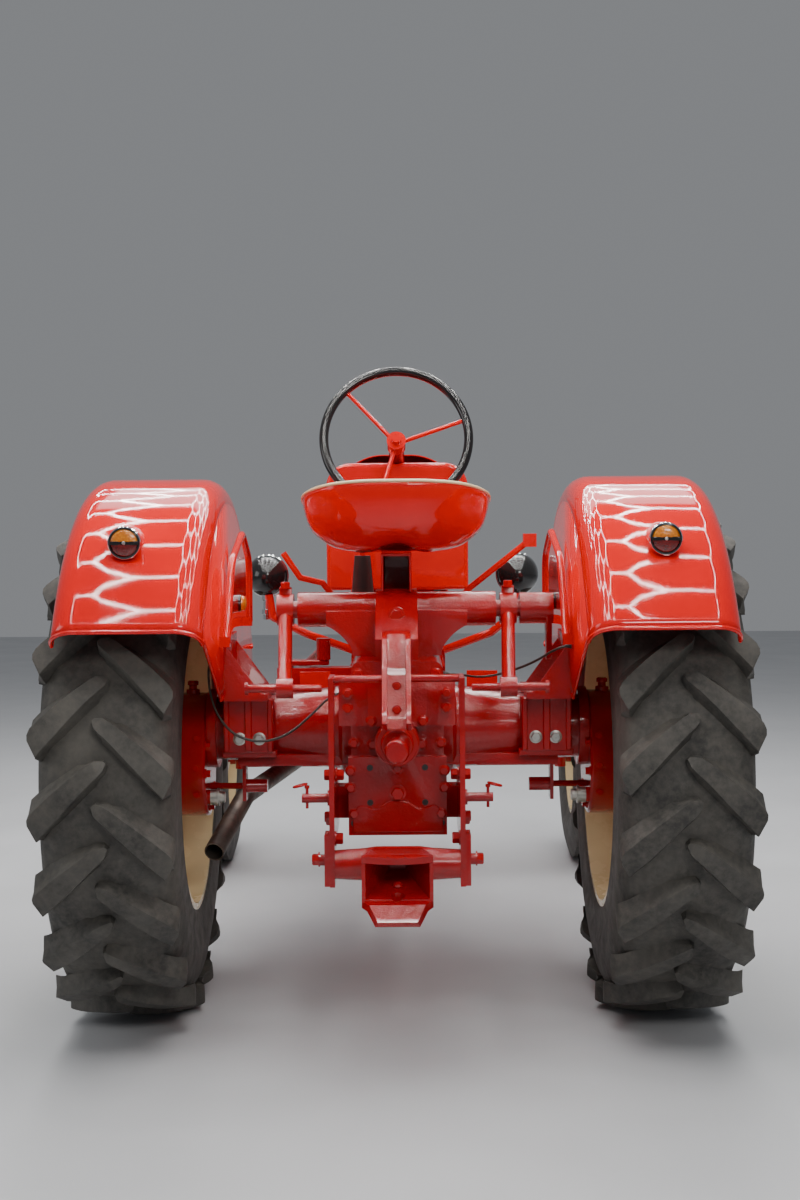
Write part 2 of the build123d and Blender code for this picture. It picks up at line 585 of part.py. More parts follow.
# Shaft, clamps, arms and the pins in their ends turn together.
LIFT_ARM_X = 282
LIFT_END_X = 268
LIFT_ARM_Y = 250
LIFT_ARM_Z = 838
LIFT_PIN_R = 9.5
LIFT_PIN_LENGTH = 176
LIFT_SHAFT_LEFT = 303
LIFT_SHAFT_RIGHT = 395
with BuildPart() as lift_shaft:
    with BuildSketch(across(-LIFT_SHAFT_RIGHT, REAR_Y, LIFT_Z)):
        Circle(LIFT_SHAFT_R)
    extrude(amount=LIFT_SHAFT_LEFT + LIFT_SHAFT_RIGHT)
    # boss on the longer right-hand end with its own short arm
    with BuildSketch(across(-LIFT_SHAFT_RIGHT, REAR_Y, LIFT_Z)):
        Circle(40)
    extrude(amount=84)
    with BuildSketch(across(-LIFT_SHAFT_RIGHT + 4, REAR_Y, 0)):
        with Locations((0, LIFT_Z)):
            Circle(36)
        with Locations((14, LIFT_Z - 118)):
            Circle(13)
        make_hull()
    extrude(amount=14)

with BuildPart() as lift_arm:
    with Locations((LIFT_ARM_X, REAR_Y, LIFT_Z)):
        Cylinder(40, 42, rotation=(0, 90, 0))
    with Locations((LIFT_ARM_X, REAR_Y - 12, LIFT_Z + 44)):
        Box(30, 34, 22)
    with BuildLine():
        arm_line = Line((LIFT_ARM_X, REAR_Y, LIFT_Z), (LIFT_END_X, REAR_Y + LIFT_ARM_Y, LIFT_ARM_Z))
    with BuildSketch(Plane(origin=arm_line @ 0, z_dir=arm_line % 0)):
        Circle(17)
    extrude(amount=arm_line.length)
    with Locations((LIFT_END_X, REAR_Y + LIFT_ARM_Y, LIFT_ARM_Z)):
        Cylinder(24, 40, rotation=(0, 90, 0))
        Cylinder(LIFT_PIN_R, LIFT_PIN_LENGTH, rotation=(0, 90, 0))
    with Locations((LIFT_END_X + LIFT_PIN_LENGTH / 2 + 4, REAR_Y + LIFT_ARM_Y, LIFT_ARM_Z)):
        Cylinder(LIFT_PIN_R + 6, 8, rotation=(0, 90, 0))

with BuildPart() as lift_arms:
    add(lift_shaft.part)
    add(lift_arm.part)
    add(mirror(lift_arm.part, about=Plane.YZ))
write(lift_arms.part, "lift_arms")

# ---------------------------------------------------------------- rear linkage and hitch
TOP_LINK_Y = 404
TOP_LINK_Z = 792
TOP_LINK_R = 9.75
with BuildPart() as top_link_bracket:
    with BuildSketch(across(-34, REAR_Y, 0)):
        with BuildLine():
            Polyline(
                (200, 901), (200, 972), (250, 972), (318, 961), (440, 775), (424, 758), (392, 758),
                (298, 868), (254, 901), close=True)
        make_face()
    extrude(amount=68)
    # channel open at the back, with the web in front
    with BuildSketch(across(-22, REAR_Y, 0)):
        with BuildLine():
            Polyline((262, 990), (330, 990), (470, 770), (420, 730), (378, 800), (306, 884), close=True)
        make_face()
    extrude(amount=44, mode=Mode.SUBTRACT)
    with Locations((0, REAR_Y + TOP_LINK_Y, TOP_LINK_Z)):
        Cylinder(TOP_LINK_R, 80, rotation=(0, 90, 0), mode=Mode.SUBTRACT)
write(top_link_bracket.part, "top_link_bracket")

# Cap over the splined shaft of the power take-off.
CAP_R = 36
CAP_LENGTH = 140
with BuildPart() as pto_cap:
    with BuildSketch(Plane.XZ.offset(-(REAR_Y + PTO_COVER_BACK))):
        with Locations((0, PTO_Z)):
            Circle(CAP_R)
    extrude(amount=-30)
    with BuildSketch(Plane.XZ.offset(-(REAR_Y + PTO_COVER_BACK + 30))):
        with Locations((0, PTO_Z)):
            Circle(CAP_R - 4)
    extrude(amount=30 - CAP_LENGTH, taper=2)
    fillet(pto_cap.faces().sort_by(Axis.Y)[-1].edges(), 8)
write(pto_cap.part, "pto_cap")

PLATE_X = 144
PLATE_THICK = 12
HITCH_PIN_Y = 350
HITCH_PIN_Z = 590
HITCH_PIN_R = 11
with BuildPart() as hitch_frame:
    for way in (-1, 1):
        with BuildSketch(across(PLATE_X + PLATE_THICK if way > 0 else -PLATE_X, REAR_Y, 0)):
            with BuildLine():
                Polyline(
                    (132, 504), (300, 486), (385, 470), (385, 400), (450, 400), (450, 880), (340, 880),
                    (340, 846), (390, 820), (390, 664), (300, 652), (132, 600), close=True)
            make_face()
        extrude(amount=-PLATE_THICK)
        # spacer that bolts the plate to the gearbox side
        add(block(way * GEARBOX_HALF, way * PLATE_X, 140, 206, 516, 592))
        # clamp plate and bolt that hold the jaw's cross tube
        clamp_x = PLATE_X + PLATE_THICK
        add(block(way * clamp_x, way * (clamp_x + 12), 386, 450, 402, 520))
        with Locations((way * (clamp_x + 18), REAR_Y + 420, 458)):
            Cylinder(13, 14, rotation=(0, 90, 0))
        # stay to the top link bracket
        with BuildSketch(across(way * 34, REAR_Y + 362, 871)):
            Circle(9)
        extrude(amount=way * (PLATE_X - 34))
write(hitch_frame.part, "hitch_frame")

with BuildPart() as hitch_pins:
    with BuildSketch(across(PLATE_X + PLATE_THICK, REAR_Y + HITCH_PIN_Y, HITCH_PIN_Z)):
        Circle(HITCH_PIN_R)
    extrude(amount=68)
    with BuildSketch(across(PLATE_X + PLATE_THICK, REAR_Y + HITCH_PIN_Y, HITCH_PIN_Z)):
        Circle(HITCH_PIN_R + 7)
    extrude(amount=8)
with BuildPart() as link_pins:
    add(drive_pins.part)
    add(hitch_pins.part)
write_both_sides(link_pins.part, "link_pins")

# Trailer jaw: a cross tube that swells toward a funnel with an upper and a lower lip.
JAW_PIN_Y = 600
JAW_BORE_R = 15.5
JAW_Z = 449
JAW_HALF = 79
JAW_FACE_Y = 612
THROAT_HALF = 18
LIP_THICK = 15
LIP_TIP_HALF = 43
jaw_face = REAR_Y + JAW_FACE_Y
with BuildPart() as lower_lip:
    with BuildSketch(across(-JAW_HALF, REAR_Y, 0)):
        with BuildLine():
            Polyline(
                (520, 418), (560, 417), (632, 402), (REAR_OVERHANG, 370), (REAR_OVERHANG - 8, 358),
                (624, 386), (556, 400), (520, 400), close=True)
        make_face()
    extrude(amount=2 * JAW_HALF)
    with BuildSketch(Plane.XY.offset(340)):
        with BuildLine():
            Polyline(
                (-JAW_HALF, jaw_face - 112), (-JAW_HALF, jaw_face - 6), (-LIP_TIP_HALF, JAW_BACK_Y + 1),
                (LIP_TIP_HALF, JAW_BACK_Y + 1), (JAW_HALF, jaw_face - 6), (JAW_HALF, jaw_face - 112), close=True)
        make_face()
    extrude(amount=100, mode=Mode.INTERSECT)

with BuildPart() as hitch_jaw:
    with BuildSketch(Plane(origin=(0, REAR_Y + 428, JAW_Z), x_dir=(1, 0, 0), z_dir=(0, -1, 0))):
        with BuildLine():
            Polyline(
                (-PLATE_X, 0), (-PLATE_X, 33), (-80, 37), (-50, 41), (50, 41), (80, 37), (PLATE_X, 33),
                (PLATE_X, 0), close=True)
        make_face()
    revolve(axis=Axis((0, REAR_Y + 428, JAW_Z), (1, 0, 0)))
    with BuildSketch(Plane.XZ.offset(-(REAR_Y + 440))):
        with Locations((0, JAW_Z)):
            Rectangle(110, 80)
    with BuildSketch(Plane.XZ.offset(-(REAR_Y + JAW_FACE_Y))):
        with Locations((0, 454)):
            Rectangle(2 * JAW_HALF, 104)
    loft()
    # funnel with a square throat
    with BuildSketch(Plane.XZ.offset(-(REAR_Y + 500))):
        with Locations((0, 467)):
            Rectangle(2 * THROAT_HALF, 36)
    with BuildSketch(Plane.XZ.offset(-(REAR_Y + JAW_FACE_Y + 1))):
        with Locations((0, 451)):
            Rectangle(2 * (JAW_HALF - 8), 84)
    loft(mode=Mode.SUBTRACT)
    add(block(-THROAT_HALF, THROAT_HALF, 478, 502, 449, 485), mode=Mode.SUBTRACT)
    # lips
    with BuildSketch(Plane.XY.offset(506 - LIP_THICK)):
        with BuildLine():
            Polyline(
                (JAW_HALF, jaw_face), (JAW_HALF, jaw_face - 12), (-JAW_HALF, jaw_face - 12), (-JAW_HALF, jaw_face))
            ThreePointArc((-JAW_HALF, jaw_face), (0, jaw_face + 24), (JAW_HALF, jaw_face))
        make_face()
    extrude(amount=LIP_THICK)
    add(lower_lip.part)
    with Locations((0, REAR_Y + JAW_PIN_Y, JAW_Z)):
        Cylinder(JAW_BORE_R, 220, mode=Mode.SUBTRACT)
write(hitch_jaw.part, "hitch_jaw")

# ================================================================ steering column and dash
WHEEL_TILT = 20            # lean of the steering wheel from upright, degrees
WHEEL_Y = -492
WHEEL_Z = 1465
WHEEL_R = 204              # middle of the rim
WHEEL_RIM_R = 13
SPOKE_R = 6
SPOKE_COUNT = 3
FIRST_SPOKE = 45
WHEEL_HUB_BACK = 42        # hub centre, forward of the rim plane along the column

tilt = math.radians(WHEEL_TILT)
column_dir = (0, -math.cos(tilt), -math.sin(tilt))


def on_column(distance):
    """Point on the column's axis, measured forward from the middle of the wheel rim."""
    return (0, REAR_Y + WHEEL_Y + distance * column_dir[1], WHEEL_Z + distance * column_dir[2])


def column_plane(distance):
    return Plane(origin=on_column(distance), x_dir=(1, 0, 0), z_dir=column_dir)


PEDESTAL_HALF = 55
PEDESTAL_FRONT = -812
PEDESTAL_BACK = -722
PEDESTAL_TOP = 1398
with BuildPart() as steering_pedestal:
    add(block(-PEDESTAL_HALF, PEDESTAL_HALF, PEDESTAL_FRONT, PEDESTAL_BACK, CLUTCH_TOP_Z, PEDESTAL_TOP))
    fillet(steering_pedestal.faces().sort_by(Axis.Z)[-1].edges(), 10)
write(steering_pedestal.part, "steering_pedestal")

COLUMN_R = 22
COLUMN_SHAFT_R = 11
COLUMN_START = WHEEL_HUB_BACK + 28
with BuildPart() as steering_column:
    with BuildSketch(column_plane(COLUMN_START)):
        Circle(COLUMN_R)
    extrude(amount=260 - COLUMN_START)
    with BuildSketch(column_plane(COLUMN_START)):
        Circle(COLUMN_SHAFT_R + RUN_GAP)
    extrude(amount=150, mode=Mode.SUBTRACT)
    add(steering_pedestal.part, mode=Mode.SUBTRACT)
column_body = steering_column.part.solids().sort_by(Axis.Y)[-1]
write(Part(column_body.wrapped), "steering_column")

TANK_HALF = 205
TANK_FRONT = -722
TANK_BACK = -600
TANK_LOW = 1031
TANK_TOP = 1398
with BuildPart() as fuel_tank:
    add(block(-TANK_HALF, TANK_HALF, TANK_FRONT, TANK_BACK, TANK_LOW, TANK_TOP))
    fillet(fuel_tank.edges().filter_by(Axis.Y).group_by(Axis.Z)[-1], 70)
    fillet(fuel_tank.faces().sort_by(Axis.Y)[-1].edges(), 12)
    with BuildSketch(column_plane(0)):
        Circle(COLUMN_R + 6)
    extrude(amount=400, mode=Mode.SUBTRACT)
write(fuel_tank.part, "fuel_tank")

with BuildPart() as steering_rim:
    with BuildSketch(Plane(origin=on_column(0), x_dir=column_dir, z_dir=(1, 0, 0))):
        with Locations((0, WHEEL_R)):
            Circle(WHEEL_RIM_R)
    revolve(axis=Axis(on_column(0), column_dir))
write(steering_rim.part, "steering_rim")

with BuildPart() as steering_spokes:
    with BuildSketch(column_plane(WHEEL_HUB_BACK - 24)):
        Circle(27)
    extrude(amount=44)
    with BuildSketch(column_plane(WHEEL_HUB_BACK)):
        Circle(COLUMN_SHAFT_R)
    extrude(amount=150)
    with BuildSketch(column_plane(WHEEL_HUB_BACK - 44)):
        Circle(13)
    extrude(amount=24)
    for turn in range(SPOKE_COUNT):
        bearing = math.radians(FIRST_SPOKE + turn * 360 / SPOKE_COUNT)
        rim_plane = column_plane(0)
        hub_plane = column_plane(WHEEL_HUB_BACK)
        reach = WHEEL_R - 4
        tip = rim_plane.from_local_coords((reach * math.cos(bearing), reach * math.sin(bearing), 0))
        root = hub_plane.from_local_coords((8 * math.cos(bearing), 8 * math.sin(bearing), 0))
        with BuildLine():
            spoke = Line(root, tip)
        with BuildSketch(Plane(origin=spoke @ 0, z_dir=spoke % 0)):
            Circle(SPOKE_R)
        extrude(amount=spoke.length)
    add(steering_rim.part, mode=Mode.SUBTRACT)
write(steering_spokes.part, "steering_spokes")

# ================================================================ bonnet
HOOD_BACK = -734
HOOD_SIDE_LOW = 1122
HOOD_NOSE_LOW = 838
HOOD_NOSE_BACK = BRACKET_FRONT + 190
HOOD_HALF = 178
HOOD_SHOULDER_Z = 1352
HOOD_TOP_Z = 1421
HOOD_NOSE_BULGE = 70
nose_y = NOSE_Y - REAR_Y   # tip of the nose from the rear axle
HOOD_LENGTH = HOOD_BACK - nose_y


def hood_section(half, shoulder_z, top_z, low_z):
    """Cross-section of the bonnet, seen from the back."""
    shoulder = half * 0.96
    round_z = shoulder_z + 0.66 * (top_z - shoulder_z)
    with BuildSketch(Plane.XZ.offset(-(REAR_Y + HOOD_BACK))) as made:
        with BuildLine():
            Polyline((-shoulder, shoulder_z), (-half, low_z), (half, low_z), (shoulder, shoulder_z))
            ThreePointArc((shoulder, shoulder_z), (half * 0.72, round_z), (0, top_z))
            ThreePointArc((0, top_z), (-half * 0.72, round_z), (-shoulder, shoulder_z))
        make_face()
    return made.sketch


def nose_plan(half, tip_y, bulge, low_z):
    """Plan outline of the bonnet with its rounded nose."""
    tip = REAR_Y + tip_y
    side = half + 4
    back = REAR_Y + HOOD_BACK + 10
    with BuildSketch(Plane.XY.offset(low_z)) as made:
        with BuildLine():
            Polyline((-side, tip + bulge), (-side, back), (side, back), (side, tip + bulge))
            ThreePointArc((side, tip + bulge), (0, tip), (-side, tip + bulge))
        make_face()
    return made.sketch


with BuildPart() as hood_core:
    inside = hood_section(HOOD_HALF - SHEET, HOOD_SHOULDER_Z - 1, HOOD_TOP_Z - SHEET, HOOD_NOSE_LOW - 10)
    extrude(inside, amount=HOOD_LENGTH)
    extrude(nose_plan(HOOD_HALF, nose_y + SHEET, HOOD_NOSE_BULGE, 700), amount=900, mode=Mode.INTERSECT)

# Hinge eyes at the foot of the nose.
HOOD_HINGE_Y = BRACKET_FRONT - 35
HOOD_HINGE_Z = 852
HINGE_PIN_R = 8
with BuildPart() as hood_eyes:
    with Locations((136, REAR_Y + HOOD_HINGE_Y, HOOD_HINGE_Z)):
        Cylinder(18, 18, rotation=(0, 90, 0))
    with BuildSketch(across(127, REAR_Y, 0)):
        with BuildLine():
            Polyline(
                (HOOD_HINGE_Y - 18, HOOD_HINGE_Z), (HOOD_HINGE_Y - 18, HOOD_HINGE_Z + 53),
                (HOOD_HINGE_Y + 25, HOOD_HINGE_Z + 53), (HOOD_HINGE_Y + 25, HOOD_HINGE_Z + 28),
                (HOOD_HINGE_Y + 18, HOOD_HINGE_Z), close=True)
        make_face()
    extrude(amount=HOOD_HALF - 1.5 - 127)
    with Locations((136, REAR_Y + HOOD_HINGE_Y, HOOD_HINGE_Z)):
        Cylinder(HINGE_PIN_R + PIN_GAP, 60, rotation=(0, 90, 0), mode=Mode.SUBTRACT)

GRILLE_HALF = 128
GRILLE_LOW = 886
GRILLE_TOP = 1268
grille_window = block(-GRILLE_HALF, GRILLE_HALF, nose_y - 20, nose_y + 120, GRILLE_LOW, GRILLE_TOP)
with BuildPart() as hood:
    extrude(hood_section(HOOD_HALF, HOOD_SHOULDER_Z, HOOD_TOP_Z, HOOD_NOSE_LOW), amount=HOOD_LENGTH)
    extrude(nose_plan(HOOD_HALF, nose_y, HOOD_NOSE_BULGE, 700), amount=900, mode=Mode.INTERSECT)
    add(hood_core.part, mode=Mode.SUBTRACT)
    add(hood_eyes.part)
    add(mirror(hood_eyes.part, about=Plane.YZ))
    # open engine sides below the bonnet
    add(block(-300, 300, HOOD_NOSE_BACK, HOOD_BACK + 20, 700, HOOD_SIDE_LOW), mode=Mode.SUBTRACT)
    # radiator opening
    add(grille_window, mode=Mode.SUBTRACT)
write(hood.part, "hood")

GRILLE_BARS = 11
with BuildPart() as grille:
    extrude(nose_plan(HOOD_HALF, nose_y, HOOD_NOSE_BULGE, GRILLE_LOW), amount=GRILLE_TOP - GRILLE_LOW)
    extrude(
        nose_plan(HOOD_HALF, nose_y + SHEET, HOOD_NOSE_BULGE, GRILLE_LOW - 1),
        amount=GRILLE_TOP - GRILLE_LOW + 2, mode=Mode.SUBTRACT)
    add(grille_window, mode=Mode.INTERSECT)
    slot_pitch = (GRILLE_TOP - GRILLE_LOW) / GRILLE_BARS
    for index in range(GRILLE_BARS):
        mid_z = GRILLE_LOW + (index + 0.5) * slot_pitch
        for x0, x1 in ((-GRILLE_HALF + 10, -8), (8, GRILLE_HALF - 10)):
            add(block(x0, x1, nose_y - 20, nose_y + 120, mid_z - 9, mid_z + 9), mode=Mode.SUBTRACT)
write(grille.part, "grille")

# Hinge lugs on the axle bracket with the pin that the bonnet's eyes turn on.
with BuildPart() as hood_hinge:
    for way in (-1, 1):
        add(block(way * 96, way * 108, BRACKET_FRONT - 60, BRACKET_FRONT, 700, 872))
        add(block(way * 60, way * 108, BRACKET_FRONT, BRACKET_FRONT + 6, 700, 790), mode=Mode.SUBTRACT)
    add(block(-108, 108, BRACKET_FRONT - 12, BRACKET_FRONT, 700, 760))
    with Locations((0, REAR_Y + HOOD_HINGE_Y, HOOD_HINGE_Z)):
        Cylinder(HINGE_PIN_R, 300, rotation=(0, 90, 0))
write(hood_hinge.part, "hood_hinge")

# ================================================================ mudguards
GUARD_R = REAR_TYRE_DIAMETER / 2 + 104
GUARD_INNER_X = DRIVE_IN_X - 51
GUARD_OUTER_X = REAR_X + 106
GUARD_BACK_ANGLE = 32      # above level, at the back edge
GUARD_SWEEP = 126
GUARD_LIP = 66
GUARD_CORNER = 58
with BuildPart() as fender:
    back = math.radians(GUARD_BACK_ANGLE)
    radial = Plane(
        origin=(0, REAR_Y, REAR_Z), x_dir=(1, 0, 0), z_dir=(0, -math.sin(back), math.cos(back)))
    with BuildSketch(radial):
        with BuildLine():
            FilletPolyline(
                (GUARD_INNER_X, GUARD_R - 90), (GUARD_INNER_X, GUARD_R), (GUARD_OUTER_X, GUARD_R),
                (GUARD_OUTER_X, GUARD_R - GUARD_LIP), radius=GUARD_CORNER)
            offset(amount=SHEET, side=Side.RIGHT)
        make_face()
    revolve(axis=spin_axis(REAR_Y, REAR_Z), revolution_arc=GUARD_SWEEP)
    # inner wall
    with BuildSketch(across(GUARD_INNER_X, REAR_Y, 0)):
        with Locations((0, REAR_Z)):
            Circle(GUARD_R - 60)
        with BuildLine():
            Polyline(
                (700, 1061), (700, 1500), (-900, 1500), (-900, 800), (-620, 800), (-150, 806),
                (200, 806), (620, 1010), close=True)
        make_face(mode=Mode.INTERSECT)
    extrude(amount=SHEET)
write_pair(fender.part, "fender")

BRACKET_INNER_X = GUARD_INNER_X - 109
with BuildPart() as fender_bracket:
    add(block(GUARD_INNER_X - 10, GUARD_INNER_X, -100, 150, 806, 952))
    add(block(BRACKET_INNER_X, GUARD_INNER_X, -100, 150, AXLE_Z + TUBE_R + 4, 814))
    for y0 in (-100, 142):
        with BuildSketch(Plane.XZ.offset(-(REAR_Y + y0))):
            with BuildLine():
                Polyline(
                    (BRACKET_INNER_X + 10, 806), (GUARD_INNER_X - 1, 806), (GUARD_INNER_X - 1, 940), close=True)
            make_face()
        extrude(amount=-8)
    add(block(BRACKET_INNER_X - 12, GUARD_INNER_X - 5, -70, 92, 700, AXLE_Z + TUBE_R + 4))
    with Locations((BRACKET_INNER_X + 32, REAR_Y, AXLE_Z)):
        Cylinder(TUBE_R + 5, 300, rotation=(0, 90, 0), mode=Mode.SUBTRACT)
    add(block(BRACKET_INNER_X - 12, GUARD_INNER_X - 5, -90, 60, 690, 740), mode=Mode.SUBTRACT)
    add(axle_housing.part, mode=Mode.SUBTRACT)
write_both_sides(fender_bracket.part, "fender_brackets")

RAIL_R = 9
RAIL_X = GUARD_INNER_X - 23
with BuildPart() as grab_rail:
    rail_pts = [(4, -360, 960), (0, -330, 1130), (0, -140, 1206), (0, 130, 1140), (4, 230, 950)]
    with BuildLine() as rail_line:
        FilletPolyline(*[(RAIL_X + x, REAR_Y + y, z) for x, y, z in rail_pts], radius=90)
    with BuildSketch(Plane(origin=rail_line.line @ 0, z_dir=rail_line.line % 0)):
        Circle(RAIL_R)
    sweep(path=rail_line.line)
    for y, z in ((-360, 960), (230, 950)):
        with Locations(((RAIL_X + GUARD_INNER_X) / 2 - 2, REAR_Y + y, z)):
            Box(GUARD_INNER_X - RAIL_X + 4, 24, 24)
write_both_sides(grab_rail.part, "grab_rails")

# ---------------------------------------------------------------- tail lamps
LAMP_X = REAR_X - 48
LAMP_Z = REAR_Z + 574
LAMP_R = 37
LAMP_BACK = 506
with BuildPart() as tail_lamps:
    with BuildSketch(Plane.XZ.offset(-(REAR_Y + LAMP_BACK - 12))):
        with Locations((LAMP_X, LAMP_Z)):
            Circle(LAMP_R)
    extrude(amount=80)
    with Locations((LAMP_X, REAR_Y, REAR_Z)):
        Cylinder(GUARD_R, 100, rotation=(0, 90, 0), mode=Mode.SUBTRACT)
write_both_sides(tail_lamps.part, "tail_lamps")


def tail_lens(low, high):
    """Half of the round tail lens, cut between two heights about its centre."""
    with BuildPart() as made:
        with BuildSketch(Plane.XZ.offset(-(REAR_Y + LAMP_BACK))):
            with Locations((LAMP_X, LAMP_Z)):
                Circle(LAMP_R - 3)
        extrude(amount=12)
        add(block(LAMP_X - 50, LAMP_X + 50, 400, 600, LAMP_Z + low, LAMP_Z + high), mode=Mode.INTERSECT)
    return made.part


write_both_sides(tail_lens(-60, 0), "red_lenses")

# ================================================================ seat, controls and platform
SEAT_Y = -40
SEAT_HALF = 240
SEAT_LOW = 1156
SEAT_HIGH = 1338
SEAT_SHEET = 4
# height above the seat's floor, half width and half depth of each section
SEAT_SECTIONS = (
    (0, 96, 66), (22, 176, 132), (62, 218, 170), (120, SEAT_HALF - 4, 186), (194, SEAT_HALF, 192))


def seat_bowl(grow, floor_z):
    """Solid of the pan seat's bowl: oval sections that widen upward."""
    with BuildPart() as made:
        for height, half, depth in SEAT_SECTIONS:
            with BuildSketch(Plane.XY.offset(floor_z + height)):
                with Locations((0, REAR_Y + SEAT_Y)):
                    Ellipse(half - grow, depth - grow)
        loft()
    return made.part


with BuildPart() as seat_pan:
    add(seat_bowl(0, SEAT_LOW))
    add(seat_bowl(SEAT_SHEET, SEAT_LOW + SEAT_SHEET), mode=Mode.SUBTRACT)
    # rim falls toward the front
    with BuildSketch(across(-300, REAR_Y, 0)):
        with BuildLine():
            Polyline(
                (200, SEAT_HIGH), (SEAT_Y + 185, SEAT_HIGH - 2), (SEAT_Y + 100, SEAT_HIGH - 22),
                (SEAT_Y, SEAT_HIGH - 48), (SEAT_Y - 110, SEAT_HIGH - 76), (SEAT_Y - 220, SEAT_HIGH - 100),
                (SEAT_Y - 220, 1500), (200, 1500), close=True)
        make_face()
    extrude(amount=600, mode=Mode.SUBTRACT)
write(seat_pan.part, "seat_pan")

with BuildPart() as seat_bracket:
    add(block(-38, 38, -120, 84, 1060, SEAT_LOW))
    add(block(-32, 32, -112, 90, 1050, SEAT_LOW - 8), mode=Mode.SUBTRACT)
    add(block(-38, 38, -228, -112, 975, 1066))
    add(block(-30, 30, -218, -120, 970, 1052), mode=Mode.SUBTRACT)
    add(seat_bowl(0, SEAT_LOW), mode=Mode.SUBTRACT)
    add(lift_housing.part, mode=Mode.SUBTRACT)
write(seat_bracket.part, "seat_bracket")

# Gear lever in its boot, to the left of the seat.
with BuildPart() as gear_boot:
    with Locations((94, REAR_Y - 330, (GEARBOX_TOP_Z + 1139) / 2)):
        Cone(42, 22, 1139 - GEARBOX_TOP_Z)
write(gear_boot.part, "gear_boot")

with BuildPart() as gear_lever:
    with Locations((94, REAR_Y - 330, 1139 + 35)):
        Cylinder(7, 70)
    with Locations((94, REAR_Y - 330, 1139 + 70)):
        Sphere(20)

ROD_R = 8


def bent_rod(points, radius):
    """Round bar through a list of points, with a ball at every bend."""
    with BuildPart() as made:
        for start, end in zip(points, points[1:]):
            begin = Vector(start[0], REAR_Y + start[1], start[2])
            finish = Vector(end[0], REAR_Y + end[1], end[2])
            with BuildSketch(Plane(origin=begin, z_dir=finish - begin)):
                Circle(radius)
            extrude(amount=(finish - begin).length)
        for bend in points[1:-1]:
            with Locations((bend[0], REAR_Y + bend[1], bend[2])):
                Sphere(radius)
    return made.part


with BuildPart() as lift_lever:
    add(bent_rod([(100, -150, 950), (194, -120, 1075), (251, -110, 1089), (294, -100, 1154)], ROD_R))
    add(lift_housing.part, mode=Mode.SUBTRACT)
lift_lever_body = lift_lever.part.solids().sort_by(SortBy.VOLUME)[-1]

with BuildPart() as side_lever:
    add(bent_rod([(-95, -140, 950), (-190, -110, 1059), (-335, -100, 1174)], ROD_R))
    with Locations((-345, REAR_Y - 100, 1182)):
        Box(34, 30, 34)
    add(lift_housing.part, mode=Mode.SUBTRACT)
side_lever_body = side_lever.part.solids().sort_by(SortBy.VOLUME)[-1]
write(Compound(children=[*gear_lever.part.solids(), lift_lever_body, side_lever_body]), "levers")

# Footplates with a carrier to the clutch housing.
PLATE_Z = 600
with BuildPart() as footplate:
    add(block(CLUTCH_HALF, 420, -720, -330, PLATE_Z, PLATE_Z + SHEET + 2))
    add(block(CLUTCH_HALF, 400, -600, -566, PLATE_Z - 34, PLATE_Z))
    add(block(CLUTCH_HALF, 400, -720, -712, PLATE_Z - 34, PLATE_Z))
    add(block(GEARBOX_HALF, CLUTCH_HALF, -560, -330, PLATE_Z, PLATE_Z + SHEET + 2))
    # pedal on its lever
    add(block(200, 290, -668, -656, 720, 790))
    add(bent_rod([(180, -600, 602), (210, -640, 680), (240, -658, 745)], 9))
    add(clutch_housing.part, mode=Mode.SUBTRACT)
    add(gearbox_housing.part, mode=Mode.SUBTRACT)
write_both_sides(footplate.part, "footplates")

# ================================================================ lamps at the front
HEAD_Y = -1200
HEAD_Z = 1050
HEAD_LEFT_X = 430
HEAD_RIGHT_X = -388
HEAD_R = 70


def head_shell(x):
    """Bucket of a headlamp: domed at the back, open ring at the front."""
    with BuildPart() as made:
        with BuildSketch(Plane(origin=(x, REAR_Y + HEAD_Y, HEAD_Z), x_dir=(0, 1, 0), z_dir=(1, 0, 0))):
            with BuildLine():
                Polyline(
                    (46, 0), (44, 22), (34, 42), (12, 60), (-20, HEAD_R - 2), (-56, HEAD_R), (-62, HEAD_R - 2),
                    (-62, HEAD_R - 8), (-50, HEAD_R - 8), (-50, 0), close=True)
            make_face()
        revolve(axis=Axis((x, REAR_Y + HEAD_Y, HEAD_Z), (0, 1, 0)))
    return made.part


def head_lens(x):
    with BuildPart() as made:
        with Locations((x, REAR_Y + HEAD_Y - 58, HEAD_Z)):
            Cylinder(HEAD_R - 8, 16, rotation=(90, 0, 0))
    return made.part


def head_bracket(x):
    """Stem under the lamp and the tube that carries it out from the engine."""
    way = 1 if x > 0 else -1
    with BuildPart() as made:
        tube = [(way * ENGINE_HALF, HEAD_Y, 800), (way * 300, HEAD_Y, 862), (x - way * 20, HEAD_Y, 918)]
        add(bent_rod([*tube, (x, HEAD_Y, HEAD_Z)], 13))
        add(head_shell(x), mode=Mode.SUBTRACT)
        add(engine_block.part, mode=Mode.SUBTRACT)
    return Part(made.part.solids().sort_by(SortBy.VOLUME)[-1].wrapped)


head_xs = (HEAD_LEFT_X, HEAD_RIGHT_X)
write(Compound(children=[s for x in head_xs for s in head_shell(x).solids()]), "headlamps")
write(Compound(children=[s for x in head_xs for s in head_lens(x).solids()]), "headlamp_lenses")
write(Compound(children=[s for x in head_xs for s in head_bracket(x).solids()]), "headlamp_brackets")

# Side indicators on the front of the inner mudguard walls.
with BuildPart() as indicators:
    with Locations((GUARD_INNER_X - 14, REAR_Y - 250, 1016)):
        Cylinder(24, 28, rotation=(0, 90, 0))
amber = [*tail_lens(0, 60).solids(), *indicators.part.solids()]
amber += [*mirror(tail_lens(0, 60), about=Plane.YZ).solids(), *mirror(indicators.part, about=Plane.YZ).solids()]
write(Compound(children=amber), "amber_lenses")

